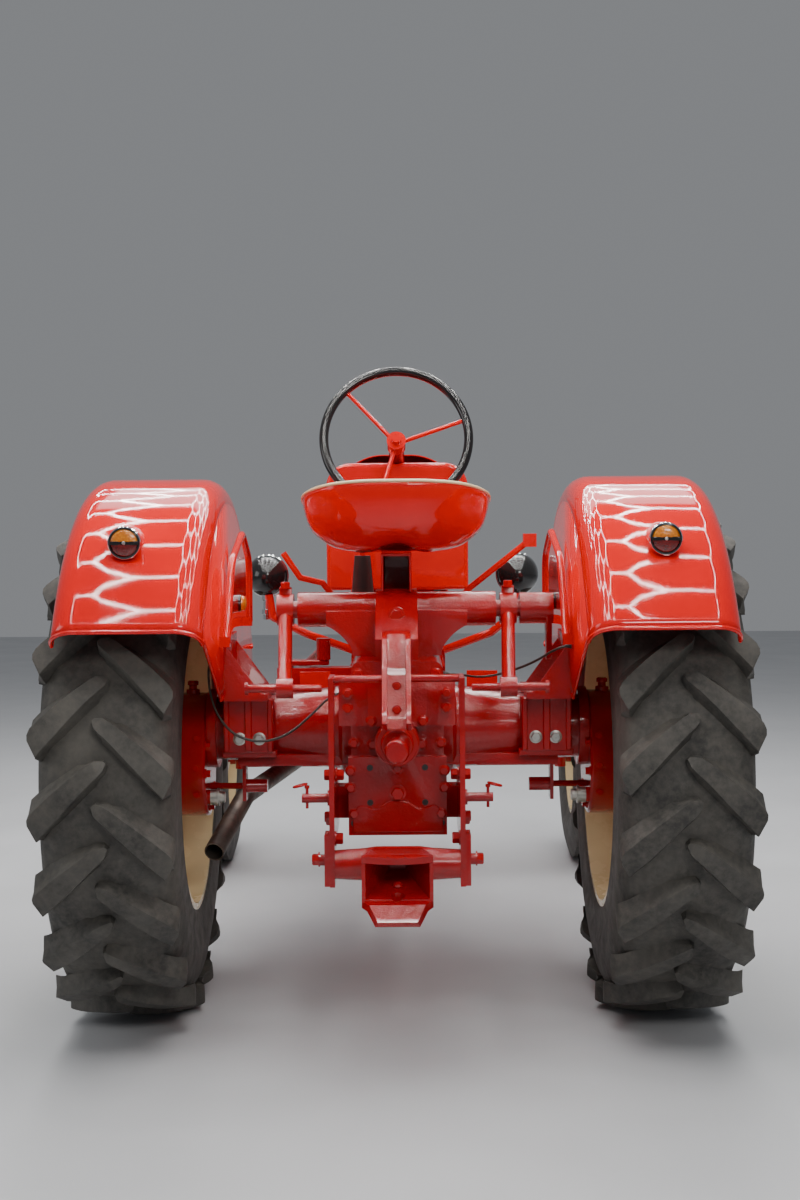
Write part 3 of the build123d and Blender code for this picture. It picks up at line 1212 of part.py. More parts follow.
# ================================================================ exhaust
PIPE_R = 25
with BuildPart() as exhaust:
    pipe_pts = [
        (ENGINE_HALF, -1290, 660), (205, -1290, 660), (262, -1090, 512), (405, -160, 512), (461, 100, 413)]
    with BuildLine() as pipe_line:
        FilletPolyline(*[(x, REAR_Y + y, z) for x, y, z in pipe_pts], radius=60)
    with BuildSketch(Plane(origin=pipe_line.line @ 0, z_dir=pipe_line.line % 0)):
        Circle(PIPE_R)
    sweep(path=pipe_line.line)
    # open tail end
    with BuildSketch(Plane(origin=pipe_line.line @ 1, z_dir=pipe_line.line % 1)):
        Circle(PIPE_R - 3)
    extrude(amount=-70, mode=Mode.SUBTRACT)
write(exhaust.part, "exhaust")

# ================================================================ lamp cables
CABLE_R = 3
CABLE_BEND = 24
CABLE_LEFT = [
    (430.5, 210, 915), (458, 208, 915), (454, 198, 800), (408, 190, 722), (340, 186, 698), (272, 172, 712),
    (214, 146, 758), (156, 130, 816), (113.5, 128, 818)]
CABLE_RIGHT = [
    (-426.5, 176, 930), (-396, 174, 928), (-340, 118, 884), (-268, 66, 852), (-206, 66, 842), (-156, 120, 856),
    (-113.5, 128, 858)]


def lamp_cable(points):
    """Round cable that hangs through a list of points, measured from the rear axle."""
    with BuildPart() as made:
        with BuildLine() as route:
            FilletPolyline(*[(x, REAR_Y + y, z) for x, y, z in points], radius=CABLE_BEND)
        with BuildSketch(Plane(origin=route.line @ 0, z_dir=route.line % 0)):
            Circle(CABLE_R)
        sweep(path=route.line)
    return made.part


write(lamp_cable(CABLE_LEFT), "lamp_cable_left")
write(lamp_cable(CABLE_RIGHT), "lamp_cable_right")
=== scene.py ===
"""Farm tractor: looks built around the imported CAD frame. Metres; +Z up, -Y forward, +X driver's left."""
import json
import math

import bmesh
import bpy
from mathutils import Matrix, Vector
from mathutils.bvhtree import BVHTree

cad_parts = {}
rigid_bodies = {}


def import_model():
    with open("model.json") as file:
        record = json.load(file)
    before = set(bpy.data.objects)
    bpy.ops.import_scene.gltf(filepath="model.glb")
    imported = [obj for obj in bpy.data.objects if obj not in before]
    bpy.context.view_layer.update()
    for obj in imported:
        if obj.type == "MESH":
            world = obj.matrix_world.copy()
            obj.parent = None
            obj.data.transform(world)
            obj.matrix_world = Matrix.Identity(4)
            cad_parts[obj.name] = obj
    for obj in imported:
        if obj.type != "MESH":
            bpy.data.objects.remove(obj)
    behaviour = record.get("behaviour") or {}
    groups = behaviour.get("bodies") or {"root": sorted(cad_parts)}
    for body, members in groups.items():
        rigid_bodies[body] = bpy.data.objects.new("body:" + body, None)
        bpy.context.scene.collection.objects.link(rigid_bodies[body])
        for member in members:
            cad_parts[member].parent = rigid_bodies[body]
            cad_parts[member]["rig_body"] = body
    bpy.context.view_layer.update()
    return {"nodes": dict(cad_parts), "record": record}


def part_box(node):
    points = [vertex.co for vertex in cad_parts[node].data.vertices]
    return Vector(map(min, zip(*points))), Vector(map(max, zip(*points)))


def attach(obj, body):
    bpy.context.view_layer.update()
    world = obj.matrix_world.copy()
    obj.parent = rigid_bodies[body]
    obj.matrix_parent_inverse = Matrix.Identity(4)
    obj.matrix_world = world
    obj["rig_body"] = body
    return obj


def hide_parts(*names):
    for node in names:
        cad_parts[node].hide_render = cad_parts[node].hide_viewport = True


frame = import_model()
nodes = frame["nodes"]

# ------------------------------------------------------------------ places from the frame


def middle(node):
    low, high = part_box(node)
    return (low + high) / 2


REAR_AXLE = middle("rear_rim_left")
FRONT_AXLE = middle("front_rim_left")
REAR_Y = REAR_AXLE.y
SIDES = (("left", 1), ("right", -1))


def at(x, y, z):
    """Point in millimetres with y measured from the rear axle, as a vector in metres."""
    return Vector((x / 1000, REAR_Y + y / 1000, z / 1000))


# ------------------------------------------------------------------ materials
TEXTURE_SPACE = "Object"


class Nodes:
    """Small helper to wire a procedural material."""

    def __init__(self, name):
        self.material = bpy.data.materials.new(name)
        self.material.use_nodes = True
        self.tree = self.material.node_tree
        self.tree.nodes.clear()
        self.out = self.tree.nodes.new("ShaderNodeOutputMaterial")
        self.shader = self.tree.nodes.new("ShaderNodeBsdfPrincipled")
        self.tree.links.new(self.shader.outputs[0], self.out.inputs[0])
        coordinates = self.tree.nodes.new("ShaderNodeTexCoord")
        self.place = coordinates.outputs[TEXTURE_SPACE]

    def set(self, **values):
        names = {"color": "Base Color", "rough": "Roughness", "metal": "Metallic", "coat": "Coat Weight",
                 "coat_rough": "Coat Roughness", "ior": "IOR", "specular": "Specular IOR Level",
                 "transmission": "Transmission Weight"}
        for key, value in values.items():
            self.shader.inputs[names[key]].default_value = value

    def link(self, source, socket):
        self.tree.links.new(source, self.shader.inputs[socket])

    def noise(self, scale, detail=4.0, roughness=0.55):
        node = self.tree.nodes.new("ShaderNodeTexNoise")
        node.inputs["Scale"].default_value = scale
        node.inputs["Detail"].default_value = detail
        node.inputs["Roughness"].default_value = roughness
        self.tree.links.new(self.place, node.inputs["Vector"])
        return node.outputs["Fac"]

    def voronoi(self, scale):
        node = self.tree.nodes.new("ShaderNodeTexVoronoi")
        node.feature = "F1"
        node.inputs["Scale"].default_value = scale
        self.tree.links.new(self.place, node.inputs["Vector"])
        return node.outputs["Distance"]

    def ramp(self, source, stops):
        node = self.tree.nodes.new("ShaderNodeValToRGB")
        elements = node.color_ramp.elements
        while len(elements) < len(stops):
            elements.new(0.5)
        for element, (position, value) in zip(elements, stops):
            element.position = position
            element.color = (value, value, value, 1)
        self.tree.links.new(source, node.inputs[0])
        return node.outputs[0]

    def feed(self, node, places, values):
        """Gives each input a value, or a link when the value is another node's output."""
        for place, value in zip(places, values):
            if hasattr(value, "is_output"):
                self.tree.links.new(value, node.inputs[place])
            else:
                node.inputs[place].default_value = value

    def mix(self, factor, first, second):
        node = self.tree.nodes.new("ShaderNodeMix")
        node.data_type = "RGBA"
        self.feed(node, (0, 6, 7), (factor, first, second))
        return node.outputs[2]

    def math(self, operation, first, second):
        node = self.tree.nodes.new("ShaderNodeMath")
        node.operation = operation
        self.feed(node, (0, 1), (first, second))
        return node.outputs[0]

    def bump(self, *layers):
        """Each layer is (height, distance in metres); the layers add up."""
        normal = None
        for height, distance in layers:
            node = self.tree.nodes.new("ShaderNodeBump")
            node.inputs["Distance"].default_value = distance
            node.inputs["Strength"].default_value = 1.0
            self.tree.links.new(height, node.inputs["Height"])
            if normal is not None:
                self.tree.links.new(normal, node.inputs["Normal"])
            normal = node.outputs[0]
        self.link(normal, "Normal")


def rgba(red, green, blue):
    return (red, green, blue, 1.0)


def paint(name, base, deep, rough, orange_peel=0.00006, casting=0.0, casting_scale=120):
    """Gloss enamel: slight colour drift, fine orange peel, and the grain of a casting below it."""
    made = Nodes(name)
    made.link(made.mix(made.ramp(made.noise(5.0, 3), [(0.35, 0.0), (0.68, 1.0)]), base, deep), "Base Color")
    made.link(made.ramp(made.noise(14.0, 5), [(0.3, rough * 0.7), (0.7, rough * 1.35)]), "Roughness")
    layers = [(made.noise(260, 2, 0.4), orange_peel)]
    if casting:
        layers.insert(0, (made.noise(casting_scale, 5, 0.6), casting))
        layers.insert(0, (made.noise(28, 3, 0.5), casting * 1.6))
    made.bump(*layers)
    made.set(coat=0.35, coat_rough=0.03, specular=0.35)
    return made.material


RED_SHEET = paint("red_sheet_paint", rgba(0.68, 0.003, 0.002), rgba(0.60, 0.002, 0.002), 0.05)
RED_CAST = paint("red_cast_paint", rgba(0.40, 0.001, 0.003), rgba(0.27, 0.001, 0.003), 0.13,
                 casting=0.0011, casting_scale=150)
RED_STEEL = paint("red_steel_paint", rgba(0.46, 0.002, 0.003), rgba(0.34, 0.001, 0.003), 0.11,
                  casting=0.0003, casting_scale=90)
CREAM = paint("cream_paint", rgba(0.80, 0.67, 0.40), rgba(0.70, 0.57, 0.32), 0.26)
BLACK_GLOSS = paint("black_gloss", rgba(0.008, 0.008, 0.009), rgba(0.014, 0.014, 0.014), 0.12,
                    orange_peel=0.0001)
BLACK_SATIN = paint("black_satin", rgba(0.018, 0.018, 0.019), rgba(0.03, 0.029, 0.028), 0.42)


def rubber_tyre():
    """Worn tractor rubber: brown-grey dust in patches over dark rubber."""
    made = Nodes("tyre_rubber")
    dust = made.ramp(made.noise(7.0, 6, 0.6), [(0.36, 0.0), (0.72, 1.0)])
    fine = made.ramp(made.noise(60.0, 6, 0.65), [(0.38, 0.0), (0.66, 1.0)])
    base = made.mix(dust, rgba(0.030, 0.029, 0.027), rgba(0.086, 0.080, 0.070))
    base = made.mix(made.math("MULTIPLY", fine, 0.45), base, rgba(0.115, 0.103, 0.088))
    made.link(base, "Base Color")
    made.link(made.ramp(made.noise(22.0, 5), [(0.3, 0.55), (0.75, 0.82)]), "Roughness")
    made.bump((made.noise(18.0, 4, 0.6), 0.0012), (made.noise(190, 6, 0.7), 0.0005))
    made.set(specular=0.42)
    return made.material


def zinc_plate():
    made = Nodes("zinc_plate")
    made.link(made.mix(made.noise(40, 4), rgba(0.62, 0.62, 0.58), rgba(0.46, 0.46, 0.43)), "Base Color")
    made.link(made.ramp(made.noise(70, 5), [(0.3, 0.26), (0.7, 0.46)]), "Roughness")
    made.bump((made.noise(300, 3), 0.0001))
    made.set(metal=1.0)
    return made.material


def chrome_plate():
    made = Nodes("chrome_plate")
    made.link(made.mix(made.noise(30, 3), rgba(0.78, 0.79, 0.80), rgba(0.66, 0.67, 0.68)), "Base Color")
    made.link(made.ramp(made.noise(50, 4), [(0.3, 0.06), (0.7, 0.14)]), "Roughness")
    made.set(metal=1.0)
    return made.material


def cable_cover():
    """Brown-black sheath with a fine weave under the varnish."""
    made = Nodes("cable_cover")
    weave = made.noise(180, 3)
    made.link(made.mix(weave, rgba(0.020, 0.014, 0.011), rgba(0.048, 0.034, 0.026)), "Base Color")
    made.bump((made.noise(900, 2), 0.0001))
    made.set(rough=0.38)
    return made.material


def burnt_steel():
    made = Nodes("exhaust_steel")
    scale = made.ramp(made.noise(16, 6), [(0.35, 0), (0.7, 1)])
    base = made.mix(scale, rgba(0.09, 0.075, 0.066), rgba(0.19, 0.15, 0.125))
    made.link(base, "Base Color")
    made.link(made.ramp(made.noise(45, 5), [(0.3, 0.42), (0.7, 0.68)]), "Roughness")
    made.bump((made.noise(150, 5), 0.0005))
    made.set(metal=0.75)
    return made.material


def plain_rubber():
    made = Nodes("black_rubber")
    made.link(made.mix(made.noise(30, 4), rgba(0.012, 0.012, 0.012), rgba(0.026, 0.025, 0.024)), "Base Color")
    made.bump((made.noise(220, 4), 0.0002))
    made.set(rough=0.5)
    return made.material


def lens(name, base, deep, transmission):
    """Moulded lamp lens with small prisms behind a smooth face."""
    made = Nodes(name)
    made.link(made.mix(made.voronoi(180), base, deep), "Base Color")
    made.bump((made.voronoi(240), 0.0006))
    made.set(rough=0.12, transmission=transmission, coat=0.8, coat_rough=0.03, ior=1.49)
    return made.material


TYRE = rubber_tyre()
ZINC = zinc_plate()
CHROME = chrome_plate()
BURNT = burnt_steel()
RUBBER = plain_rubber()
SHEATH = cable_cover()
AMBER = lens("amber_lens", rgba(0.95, 0.33, 0.012), rgba(0.62, 0.14, 0.005), 0.25)
DARK_RED = lens("red_lens", rgba(0.22, 0.006, 0.006), rgba(0.10, 0.003, 0.003), 0.2)
CLEAR = lens("clear_glass", rgba(0.86, 0.88, 0.88), rgba(0.60, 0.62, 0.62), 0.35)

SLOT_MATERIAL = {
    "tyre_rubber": TYRE, "wheel_cream": CREAM, "cast_red": RED_CAST, "paint_red": RED_SHEET,
    "black_gloss": BLACK_GLOSS, "black_metal": BLACK_SATIN, "black_rubber": RUBBER, "clear_glass": CLEAR,
    "amber_lens": AMBER, "red_lens": DARK_RED, "cable_sheath": SHEATH, "exhaust_steel": BURNT,
}
MATERIAL_SLOT = {material.name: slot for slot, material in SLOT_MATERIAL.items()}
MATERIAL_SLOT[RED_STEEL.name] = "cast_red"
MATERIAL_SLOT[ZINC.name] = "exhaust_steel"
MATERIAL_SLOT[CHROME.name] = "exhaust_steel"

node_slot = {row["node"]: row["material_slot"] for row in frame["record"]["subparts"]}
for node_name, obj in nodes.items():
    material = SLOT_MATERIAL[node_slot[node_name]]
    obj.data.materials.clear()
    obj.data.materials.append(material)

# ------------------------------------------------------------------ mesh helpers


def add_object(name, data):
    obj = bpy.data.objects.new(name, data)
    bpy.context.scene.collection.objects.link(obj)
    return obj


def mesh_object(name, bm):
    """Object with the bmesh's faces; the bmesh is freed."""
    mesh = bpy.data.meshes.new(name)
    bm.to_mesh(mesh)
    bm.free()
    return add_object(name, mesh)


def shade_smooth(mesh, angle):
    """Smooth shading, with edges sharper than the angle in degrees left hard."""
    for polygon in mesh.polygons:
        polygon.use_smooth = True
    mesh.set_sharp_from_angle(angle=math.radians(angle))


def finish_mesh(name, bm, material, body, smooth_angle=35):
    """Turns a bmesh into a piece that rides on a body."""
    bmesh.ops.recalc_face_normals(bm, faces=bm.faces)
    obj = mesh_object(name, bm)
    mesh = obj.data
    mesh.materials.append(material)
    shade_smooth(mesh, smooth_angle)
    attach(obj, body)
    return obj


def ring(bm, points):
    return [bm.verts.new(p) for p in points]


def round_ring(bm, centre, u, v, radius, steps):
    """Ring of vertices round a centre in the plane of u and v."""
    return ring(bm, [centre + (u * math.cos(a) + v * math.sin(a)) * radius
                     for a in (2 * math.pi * i / steps for i in range(steps))])


def bridge(bm, first, second, closed=True):
    count = len(first)
    for index in range(count if closed else count - 1):
        nxt = (index + 1) % count
        bm.faces.new((first[index], first[nxt], second[nxt], second[index]))


def frame_axes(direction):
    """Two unit vectors square to a direction."""
    direction = Vector(direction).normalized()
    helper = Vector((0, 0, 1)) if abs(direction.z) < 0.9 else Vector((1, 0, 0))
    first = direction.cross(helper).normalized()
    return direction, first, direction.cross(first)


def add_turned(bm, start, direction, profile, steps=32):
    """Solid of revolution: profile is a list of (distance along direction, radius)."""
    axis, u, v = frame_axes(direction)
    rings = []
    for distance, radius in profile:
        centre = Vector(start) + axis * distance
        if radius <= 0:
            rings.append([bm.verts.new(centre)])
            continue
        rings.append(round_ring(bm, centre, u, v, radius, steps))
    for first, second in zip(rings, rings[1:]):
        if len(first) == 1:
            for i in range(len(second)):
                bm.faces.new((first[0], second[i], second[(i + 1) % len(second)]))
        elif len(second) == 1:
            for i in range(len(first)):
                bm.faces.new((first[i], first[(i + 1) % len(first)], second[0]))
        else:
            bridge(bm, first, second)
    for end, flip in ((rings[0], True), (rings[-1], False)):
        if len(end) > 1:
            bm.faces.new(reversed(end) if flip else end)


def add_bolt(bm, base, direction, size=0.017, washer=True, height=None):
    """Hexagon head with a chamfered top, on a washer, standing on a face."""
    axis, u, v = frame_axes(direction)
    base = Vector(base)
    start = -0.001
    if washer:
        wide = size * 0.72
        rim = size * 0.68
        add_turned(bm, base, direction, [(start, wide), (0.0022, wide), (0.0026, rim), (0.0026, 0)], 20)
        start = 0.002
    radius = size / math.sqrt(3)
    tall = height or size * 0.6
    hexagon = [Vector((math.cos(math.radians(60 * i)), math.sin(math.radians(60 * i)), 0)) for i in range(6)]
    rings = []
    for distance, grow in ((start, 1.0), (start + tall * 0.82, 1.0), (start + tall, 0.86)):
        centre = base + axis * distance
        rings.append(ring(bm, [centre + (u * h.x + v * h.y) * radius * grow for h in hexagon]))
    bridge(bm, rings[0], rings[1])
    bridge(bm, rings[1], rings[2])
    bm.faces.new(rings[2])
    bm.faces.new(reversed(rings[0]))


def bevel_edges(obj, width, angle=40):
    modifier = obj.modifiers.new("edges", "BEVEL")
    modifier.width = width
    modifier.segments = 2
    modifier.limit_method = "ANGLE"
    modifier.angle_limit = math.radians(angle)


def thicken(obj, thickness, offset=0):
    modifier = obj.modifiers.new("sheet", "SOLIDIFY")
    modifier.thickness = thickness
    modifier.offset = offset


def bevelled_copy(node, width):
    """A copy of a CAD node with rounded edges stands for the node."""
    source = nodes[node]
    bm = bmesh.new()
    bm.from_mesh(source.data)
    bmesh.ops.remove_doubles(bm, verts=bm.verts, dist=1e-5)
    bmesh.ops.dissolve_limit(bm, angle_limit=math.radians(1.0), verts=bm.verts, edges=bm.edges)
    obj = mesh_object(f"{node}_shape", bm)
    bevel_edges(obj, width, angle=30)
    mesh = obj.data
    mesh.materials.clear()
    mesh.materials.append(SLOT_MATERIAL[node_slot[node]])
    shade_smooth(mesh, 50)
    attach(obj, source["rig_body"])
    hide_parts(node)


# ------------------------------------------------------------------ camera
# Standing behind the tractor, a little below the seat's height.
CAMERA_BEHIND = 4.268
CAMERA_HEIGHT = 1.2654
CAMERA_ASIDE = -0.0234
PITCH = math.radians(-3.094)
YAW = math.radians(0.2)
ROLL = math.radians(-0.48)
LENS_MM = 50.53

camera_data = bpy.data.cameras.new("camera")
camera = add_object("camera", camera_data)
camera_data.sensor_fit = "VERTICAL"
camera_data.sensor_height = 36.0
camera_data.lens = LENS_MM
forward = Vector((math.sin(YAW) * math.cos(PITCH), -math.cos(YAW) * math.cos(PITCH), math.sin(PITCH)))
level = Vector((-math.cos(YAW), -math.sin(YAW), 0))
upright = level.cross(forward)
right = level * math.cos(ROLL) + upright * math.sin(ROLL)
up = -level * math.sin(ROLL) + upright * math.cos(ROLL)
camera.matrix_world = Matrix((
    (right.x, up.x, -forward.x, CAMERA_ASIDE), (right.y, up.y, -forward.y, REAR_Y + CAMERA_BEHIND),
    (right.z, up.z, -forward.z, CAMERA_HEIGHT), (0, 0, 0, 1)))
bpy.context.scene.camera = camera

# ------------------------------------------------------------------ lamp cables
CABLE_DIAMETER = 0.006
CABLES = {
    "left": (0.554, [(430.5, 210, 915), (458, 208, 915), (454, 198, 800), (408, 190, 722), (340, 186, 698),
                     (272, 172, 712), (214, 146, 758), (156, 130, 816), (113.5, 128, 818)]),
    "right": (0.383, [(-426.5, 176, 930), (-396, 174, 928), (-340, 118, 884), (-268, 66, 852),
                      (-206, 66, 842), (-156, 120, 856), (-113.5, 128, 858)]),
}


def lamp_cable(side_name, route):
    """Thin cable that hangs from the mudguard wall to the gearbox."""
    points = [at(*p) for p in route]
    data = bpy.data.curves.new(f"lamp_cable_line_{side_name}", "CURVE")
    data.dimensions = "3D"
    data.bevel_depth = CABLE_DIAMETER / 2
    data.bevel_resolution = 4
    data.resolution_u = 16
    data.use_fill_caps = True
    spline = data.splines.new("NURBS")
    spline.points.add(len(points) - 1)
    for control, point in zip(spline.points, points):
        control.co = (*point, 1)
    spline.order_u = 3
    spline.use_endpoint_u = True
    data.materials.append(SHEATH)
    cable = add_object(f"lamp_cable_line_{side_name}", data)
    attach(cable, "chassis")
    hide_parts(f"lamp_cable_{side_name}")
    for index, (near, far) in enumerate(((points[0], points[1]), (points[-1], points[-2]))):
        turned(f"cable_grommet_{side_name}_{index}", "chassis", RUBBER, [
            (near, far - near, [(0, 0.0085), (0.003, 0.0085), (0.005, 0.006), (0.016, 0.0036), (0.017, 0)])],
            steps=20)


# ------------------------------------------------------------------ shared makers
BACKWARD = Vector((0, 1, 0))
FORWARD = Vector((0, -1, 0))
UP = Vector((0, 0, 1))
DOWN = Vector((0, 0, -1))


def tube(bm, points, radius, steps=12, closed=False):
    """Round tube through points."""
    points = [Vector(p) for p in points]
    count = len(points)
    rings = []
    u = None
    for index, point in enumerate(points):
        before = points[index - 1] if index or closed else point
        after = points[(index + 1) % count] if index < count - 1 or closed else point
        axis = (after - before).normalized()
        if u is None:
            u = frame_axes(axis)[1]
        u = (u - axis * u.dot(axis)).normalized()
        v = axis.cross(u)
        rings.append(round_ring(bm, point, u, v, radius, steps))
    for first, second in zip(rings, rings[1:]):
        bridge(bm, first, second)
    if closed:
        bridge(bm, rings[-1], rings[0])
    else:
        bm.faces.new(reversed(rings[0]))
        bm.faces.new(rings[-1])


def curve_through(points, per_span=8):
    """Points of a smooth curve through the given ones."""
    points = [Vector(p) for p in points]
    padded = [points[0] * 2 - points[1], *points, points[-1] * 2 - points[-2]]
    made = []
    for a, b, c, d in zip(padded, padded[1:], padded[2:], padded[3:]):
        for step in range(per_span):
            t = step / per_span
            made.append(0.5 * (2 * b + (c - a) * t + (2 * a - 5 * b + 4 * c - d) * t ** 2
                               + (3 * b - a - 3 * c + d) * t ** 3))
    return [*made, points[-1]]


def prism(bm, outline, offset):
    """Solid between a flat outline and its copy moved by offset."""
    near = ring(bm, outline)
    far = ring(bm, [Vector(p) + Vector(offset) for p in outline])
    bridge(bm, near, far)
    bm.faces.new(reversed(near))
    bm.faces.new(far)


def slab(bm, x0, x1, y0, y1, z0, z1):
    """Block between limits in millimetres, y from the rear axle."""
    prism(bm, [at(x0, y0, z0), at(x1, y0, z0), at(x1, y1, z0), at(x0, y1, z0)], (0, 0, (z1 - z0) / 1000))


def turned(name, body, material, pieces, steps=40, smooth=35, stands_for=()):
    """Joined turned pieces; pieces is a list of (start, direction, profile)."""
    bm = bmesh.new()
    for start, direction, profile in pieces:
        add_turned(bm, start, direction, profile, steps)
    obj = finish_mesh(name, bm, material, body, smooth)
    if stands_for:
        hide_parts(*stands_for)
    return obj


def skin(*names):
    """Surface of some CAD nodes, to set fasteners on."""
    points = []
    faces = []
    for name in names:
        base = len(points)
        mesh = nodes[name].data
        points += [vertex.co.copy() for vertex in mesh.vertices]
        faces += [[base + index for index in polygon.vertices] for polygon in mesh.polygons]
    return BVHTree.FromPolygons(points, faces)


def land(surface, start, look):
    """Where a line from start along look meets a surface; a miss stops the script."""
    spot = surface.ray_cast(start, look)[0]
    if spot is None:
        raise ValueError(f"nothing to land on from {tuple(start)} along {tuple(look)}")
    return spot


def bolts(name, body, material, surface, look, starts, size=0.017, washer=True, height=None):
    """Hexagon bolts set on a surface; they face back along look."""
    bm = bmesh.new()
    for start in starts:
        add_bolt(bm, land(surface, start, look), -look, size, washer, height)
    return finish_mesh(name, bm, material, body, 30)


def both(*points):
    """Points in millimetres from the rear axle, and their mirror images."""
    return [at(x * way, y, z) for x, y, z in points for way in (1, -1)]


for side_name, (length, route) in CABLES.items():
    lamp_cable(side_name, route)


# ------------------------------------------------------------------ tyres


def tyre_section(outer_r, bead_r, half, lug, seat_half):
    """Carcass outline from inner bead over the crown to the outer bead: (across, radius)."""
    base_r = outer_r - lug
    tall = base_r - bead_r
    side = [
        (seat_half - 0.004, bead_r - 0.002), (seat_half + 0.004, bead_r + 0.006),
        (seat_half + 0.012, bead_r + 0.020), (half * 0.93, bead_r + tall * 0.24),
        (half * 0.975, bead_r + tall * 0.42), (half * 0.97, bead_r + tall * 0.6),
        (half * 0.92, bead_r + tall * 0.78), (half * 0.83, bead_r + tall * 0.90),
        (half * 0.66, bead_r + tall * 0.965),
        (half * 0.40, base_r - 0.003), (half * 0.14, base_r)]
    return [(-x, r) for x, r in side] + [(x, r) for x, r in reversed(side)]


def add_revolved_shell(bm, centre, section, steps):
    """Closed tube of revolution about X through a centre; section is a closed loop of (across, radius)."""
    rings = []
    for index in range(steps):
        angle = 2 * math.pi * index / steps
        rings.append(ring(bm, [centre + Vector((x, r * math.cos(angle), r * math.sin(angle)))
                               for x, r in section]))
    for index in range(steps):
        bridge(bm, rings[index], rings[(index + 1) % steps])


def smooth_step(t):
    t = max(0.0, min(1.0, t))
    return t * t * (3 - 2 * t)


def add_lug(bm, centre, side, start_angle, outer_r, half, lug, width, sweep, lead, floor_of):
    """One bar of the tread: from a rounded nose near the middle, back to a square end past the shoulder."""
    steps = 14
    rings = []
    for index in range(steps + 1):
        t = index / steps
        across = -lead + (half + lead) * (t ** 0.96)
        angle = start_angle - sweep * (0.86 * t + 0.14 * t * t)
        nose = math.sqrt(max(0.0, 1 - (1 - min(t / 0.14, 1.0)) ** 2))
        top_half = width * (0.34 + 0.20 * smooth_step(t * 1.2)) * (0.25 + 0.75 * nose)
        foot_half = top_half + lug * 0.42
        crown = outer_r - 0.020 * (abs(across) / half) ** 2.2
        top_r = crown - (1 - nose) * lug * 0.35
        floor_r = max(floor_of(across), outer_r - lug * 1.7) - 0.006
        # direction of the bar on the unrolled tread, to set its width square to its length
        slope_x = half + lead
        slope_a = -sweep * outer_r
        length = math.hypot(slope_x, slope_a)
        normal = Vector((-slope_a / length, slope_x / length))
        points = []
        shoulder_r = top_r - lug * 0.10
        outline = (
            (-foot_half, floor_r), (-top_half - lug * 0.10, floor_r + (top_r - floor_r) * 0.45),
            (-top_half, shoulder_r),
            (-top_half * 0.9, top_r), (top_half * 0.9, top_r), (top_half, shoulder_r),
            (top_half + lug * 0.16, floor_r + (top_r - floor_r) * 0.45), (foot_half * 1.15, floor_r))
        for offset, radius in outline:
            x = across + normal.x * offset
            x = min(x, half + 0.001)
            a = angle + normal.y * offset / outer_r
            points.append(centre + Vector((side * x, radius * math.cos(a), radius * math.sin(a))))
        rings.append(ring(bm, points))
    last = rings[-1]
    for first, second in zip(rings, rings[1:]):
        bridge(bm, first, second)
    bm.faces.new(rings[0])
    # buttress down the side wall below the shoulder end
    foot = []
    axis_angle = start_angle - sweep
    for vert in last:
        rel = vert.co - centre
        radius = math.hypot(rel.y, rel.z)
        angle = math.atan2(rel.z, rel.y)
        shrink = outer_r - lug * 2.1 if radius < outer_r - lug * 0.7 else outer_r - lug * 1.9
        turn = (angle - axis_angle + math.pi) % (2 * math.pi) - math.pi
        middle_angle = axis_angle + turn * 0.7
        foot.append(bm.verts.new(centre + Vector((
            side * half * 0.955, shrink * math.cos(middle_angle), shrink * math.sin(middle_angle)))))
    bridge(bm, last, foot)
    bm.faces.new(foot)


def floor_profile(section):
    """Carcass radius by distance from the middle plane; off the listed points it is the widest one's."""
    table = sorted((x, r) for x, r in section if x >= 0)

    def lookup(across):
        across = abs(across)
        for (x0, r0), (x1, r1) in zip(table, table[1:]):
            if x0 <= across <= x1:
                return r0 + (r1 - r0) * (across - x0) / max(x1 - x0, 1e-6)
        return table[-1][1]

    return lookup


REAR_LUGS = 20
REAR_LUG_HEIGHT = 0.034
REAR_LUG_WIDTH = 0.052
REAR_LUG_SWEEP = 0.262      # radians from the lug's nose to its shoulder end
REAR_LUG_LEAD = 0.014       # how far the nose passes the middle plane
REAR_STEPS = 120
FRONT_STEPS = 96
FRONT_SEAT_HALF = 0.055
FRONT_RIB = 0.011


def wheel_size(node):
    """Centre, half width and radius of a node that turns about X."""
    low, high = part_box(node)
    return (low + high) / 2, (high.x - low.x) / 2, (high.z - low.z) / 2


def rear_tyre(side_name, side):
    centre, half, outer_r = wheel_size(f"rear_tyre_{side_name}")
    _, rim_half, rim_r = wheel_size(f"rear_rim_{side_name}")
    seat_half = rim_half - 0.006
    bead_r = rim_r - 0.025
    section = tyre_section(outer_r, bead_r, half, REAR_LUG_HEIGHT, seat_half)
    bm = bmesh.new()
    add_revolved_shell(bm, centre, section, REAR_STEPS)
    look = floor_profile(section)
    pitch = 2 * math.pi / REAR_LUGS
    for hand, shift in ((1, 0.5), (-1, 0.0)):
        for index in range(REAR_LUGS):
            add_lug(bm, centre, hand * side, (index + shift) * pitch, outer_r, half, REAR_LUG_HEIGHT,
                    REAR_LUG_WIDTH, REAR_LUG_SWEEP, REAR_LUG_LEAD, look)
    obj = finish_mesh(f"rear_tyre_tread_{side_name}", bm, TYRE, f"rear_wheel_{side_name}", 40)
    bevel_edges(obj, 0.0025, angle=38)
    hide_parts(f"rear_tyre_{side_name}")


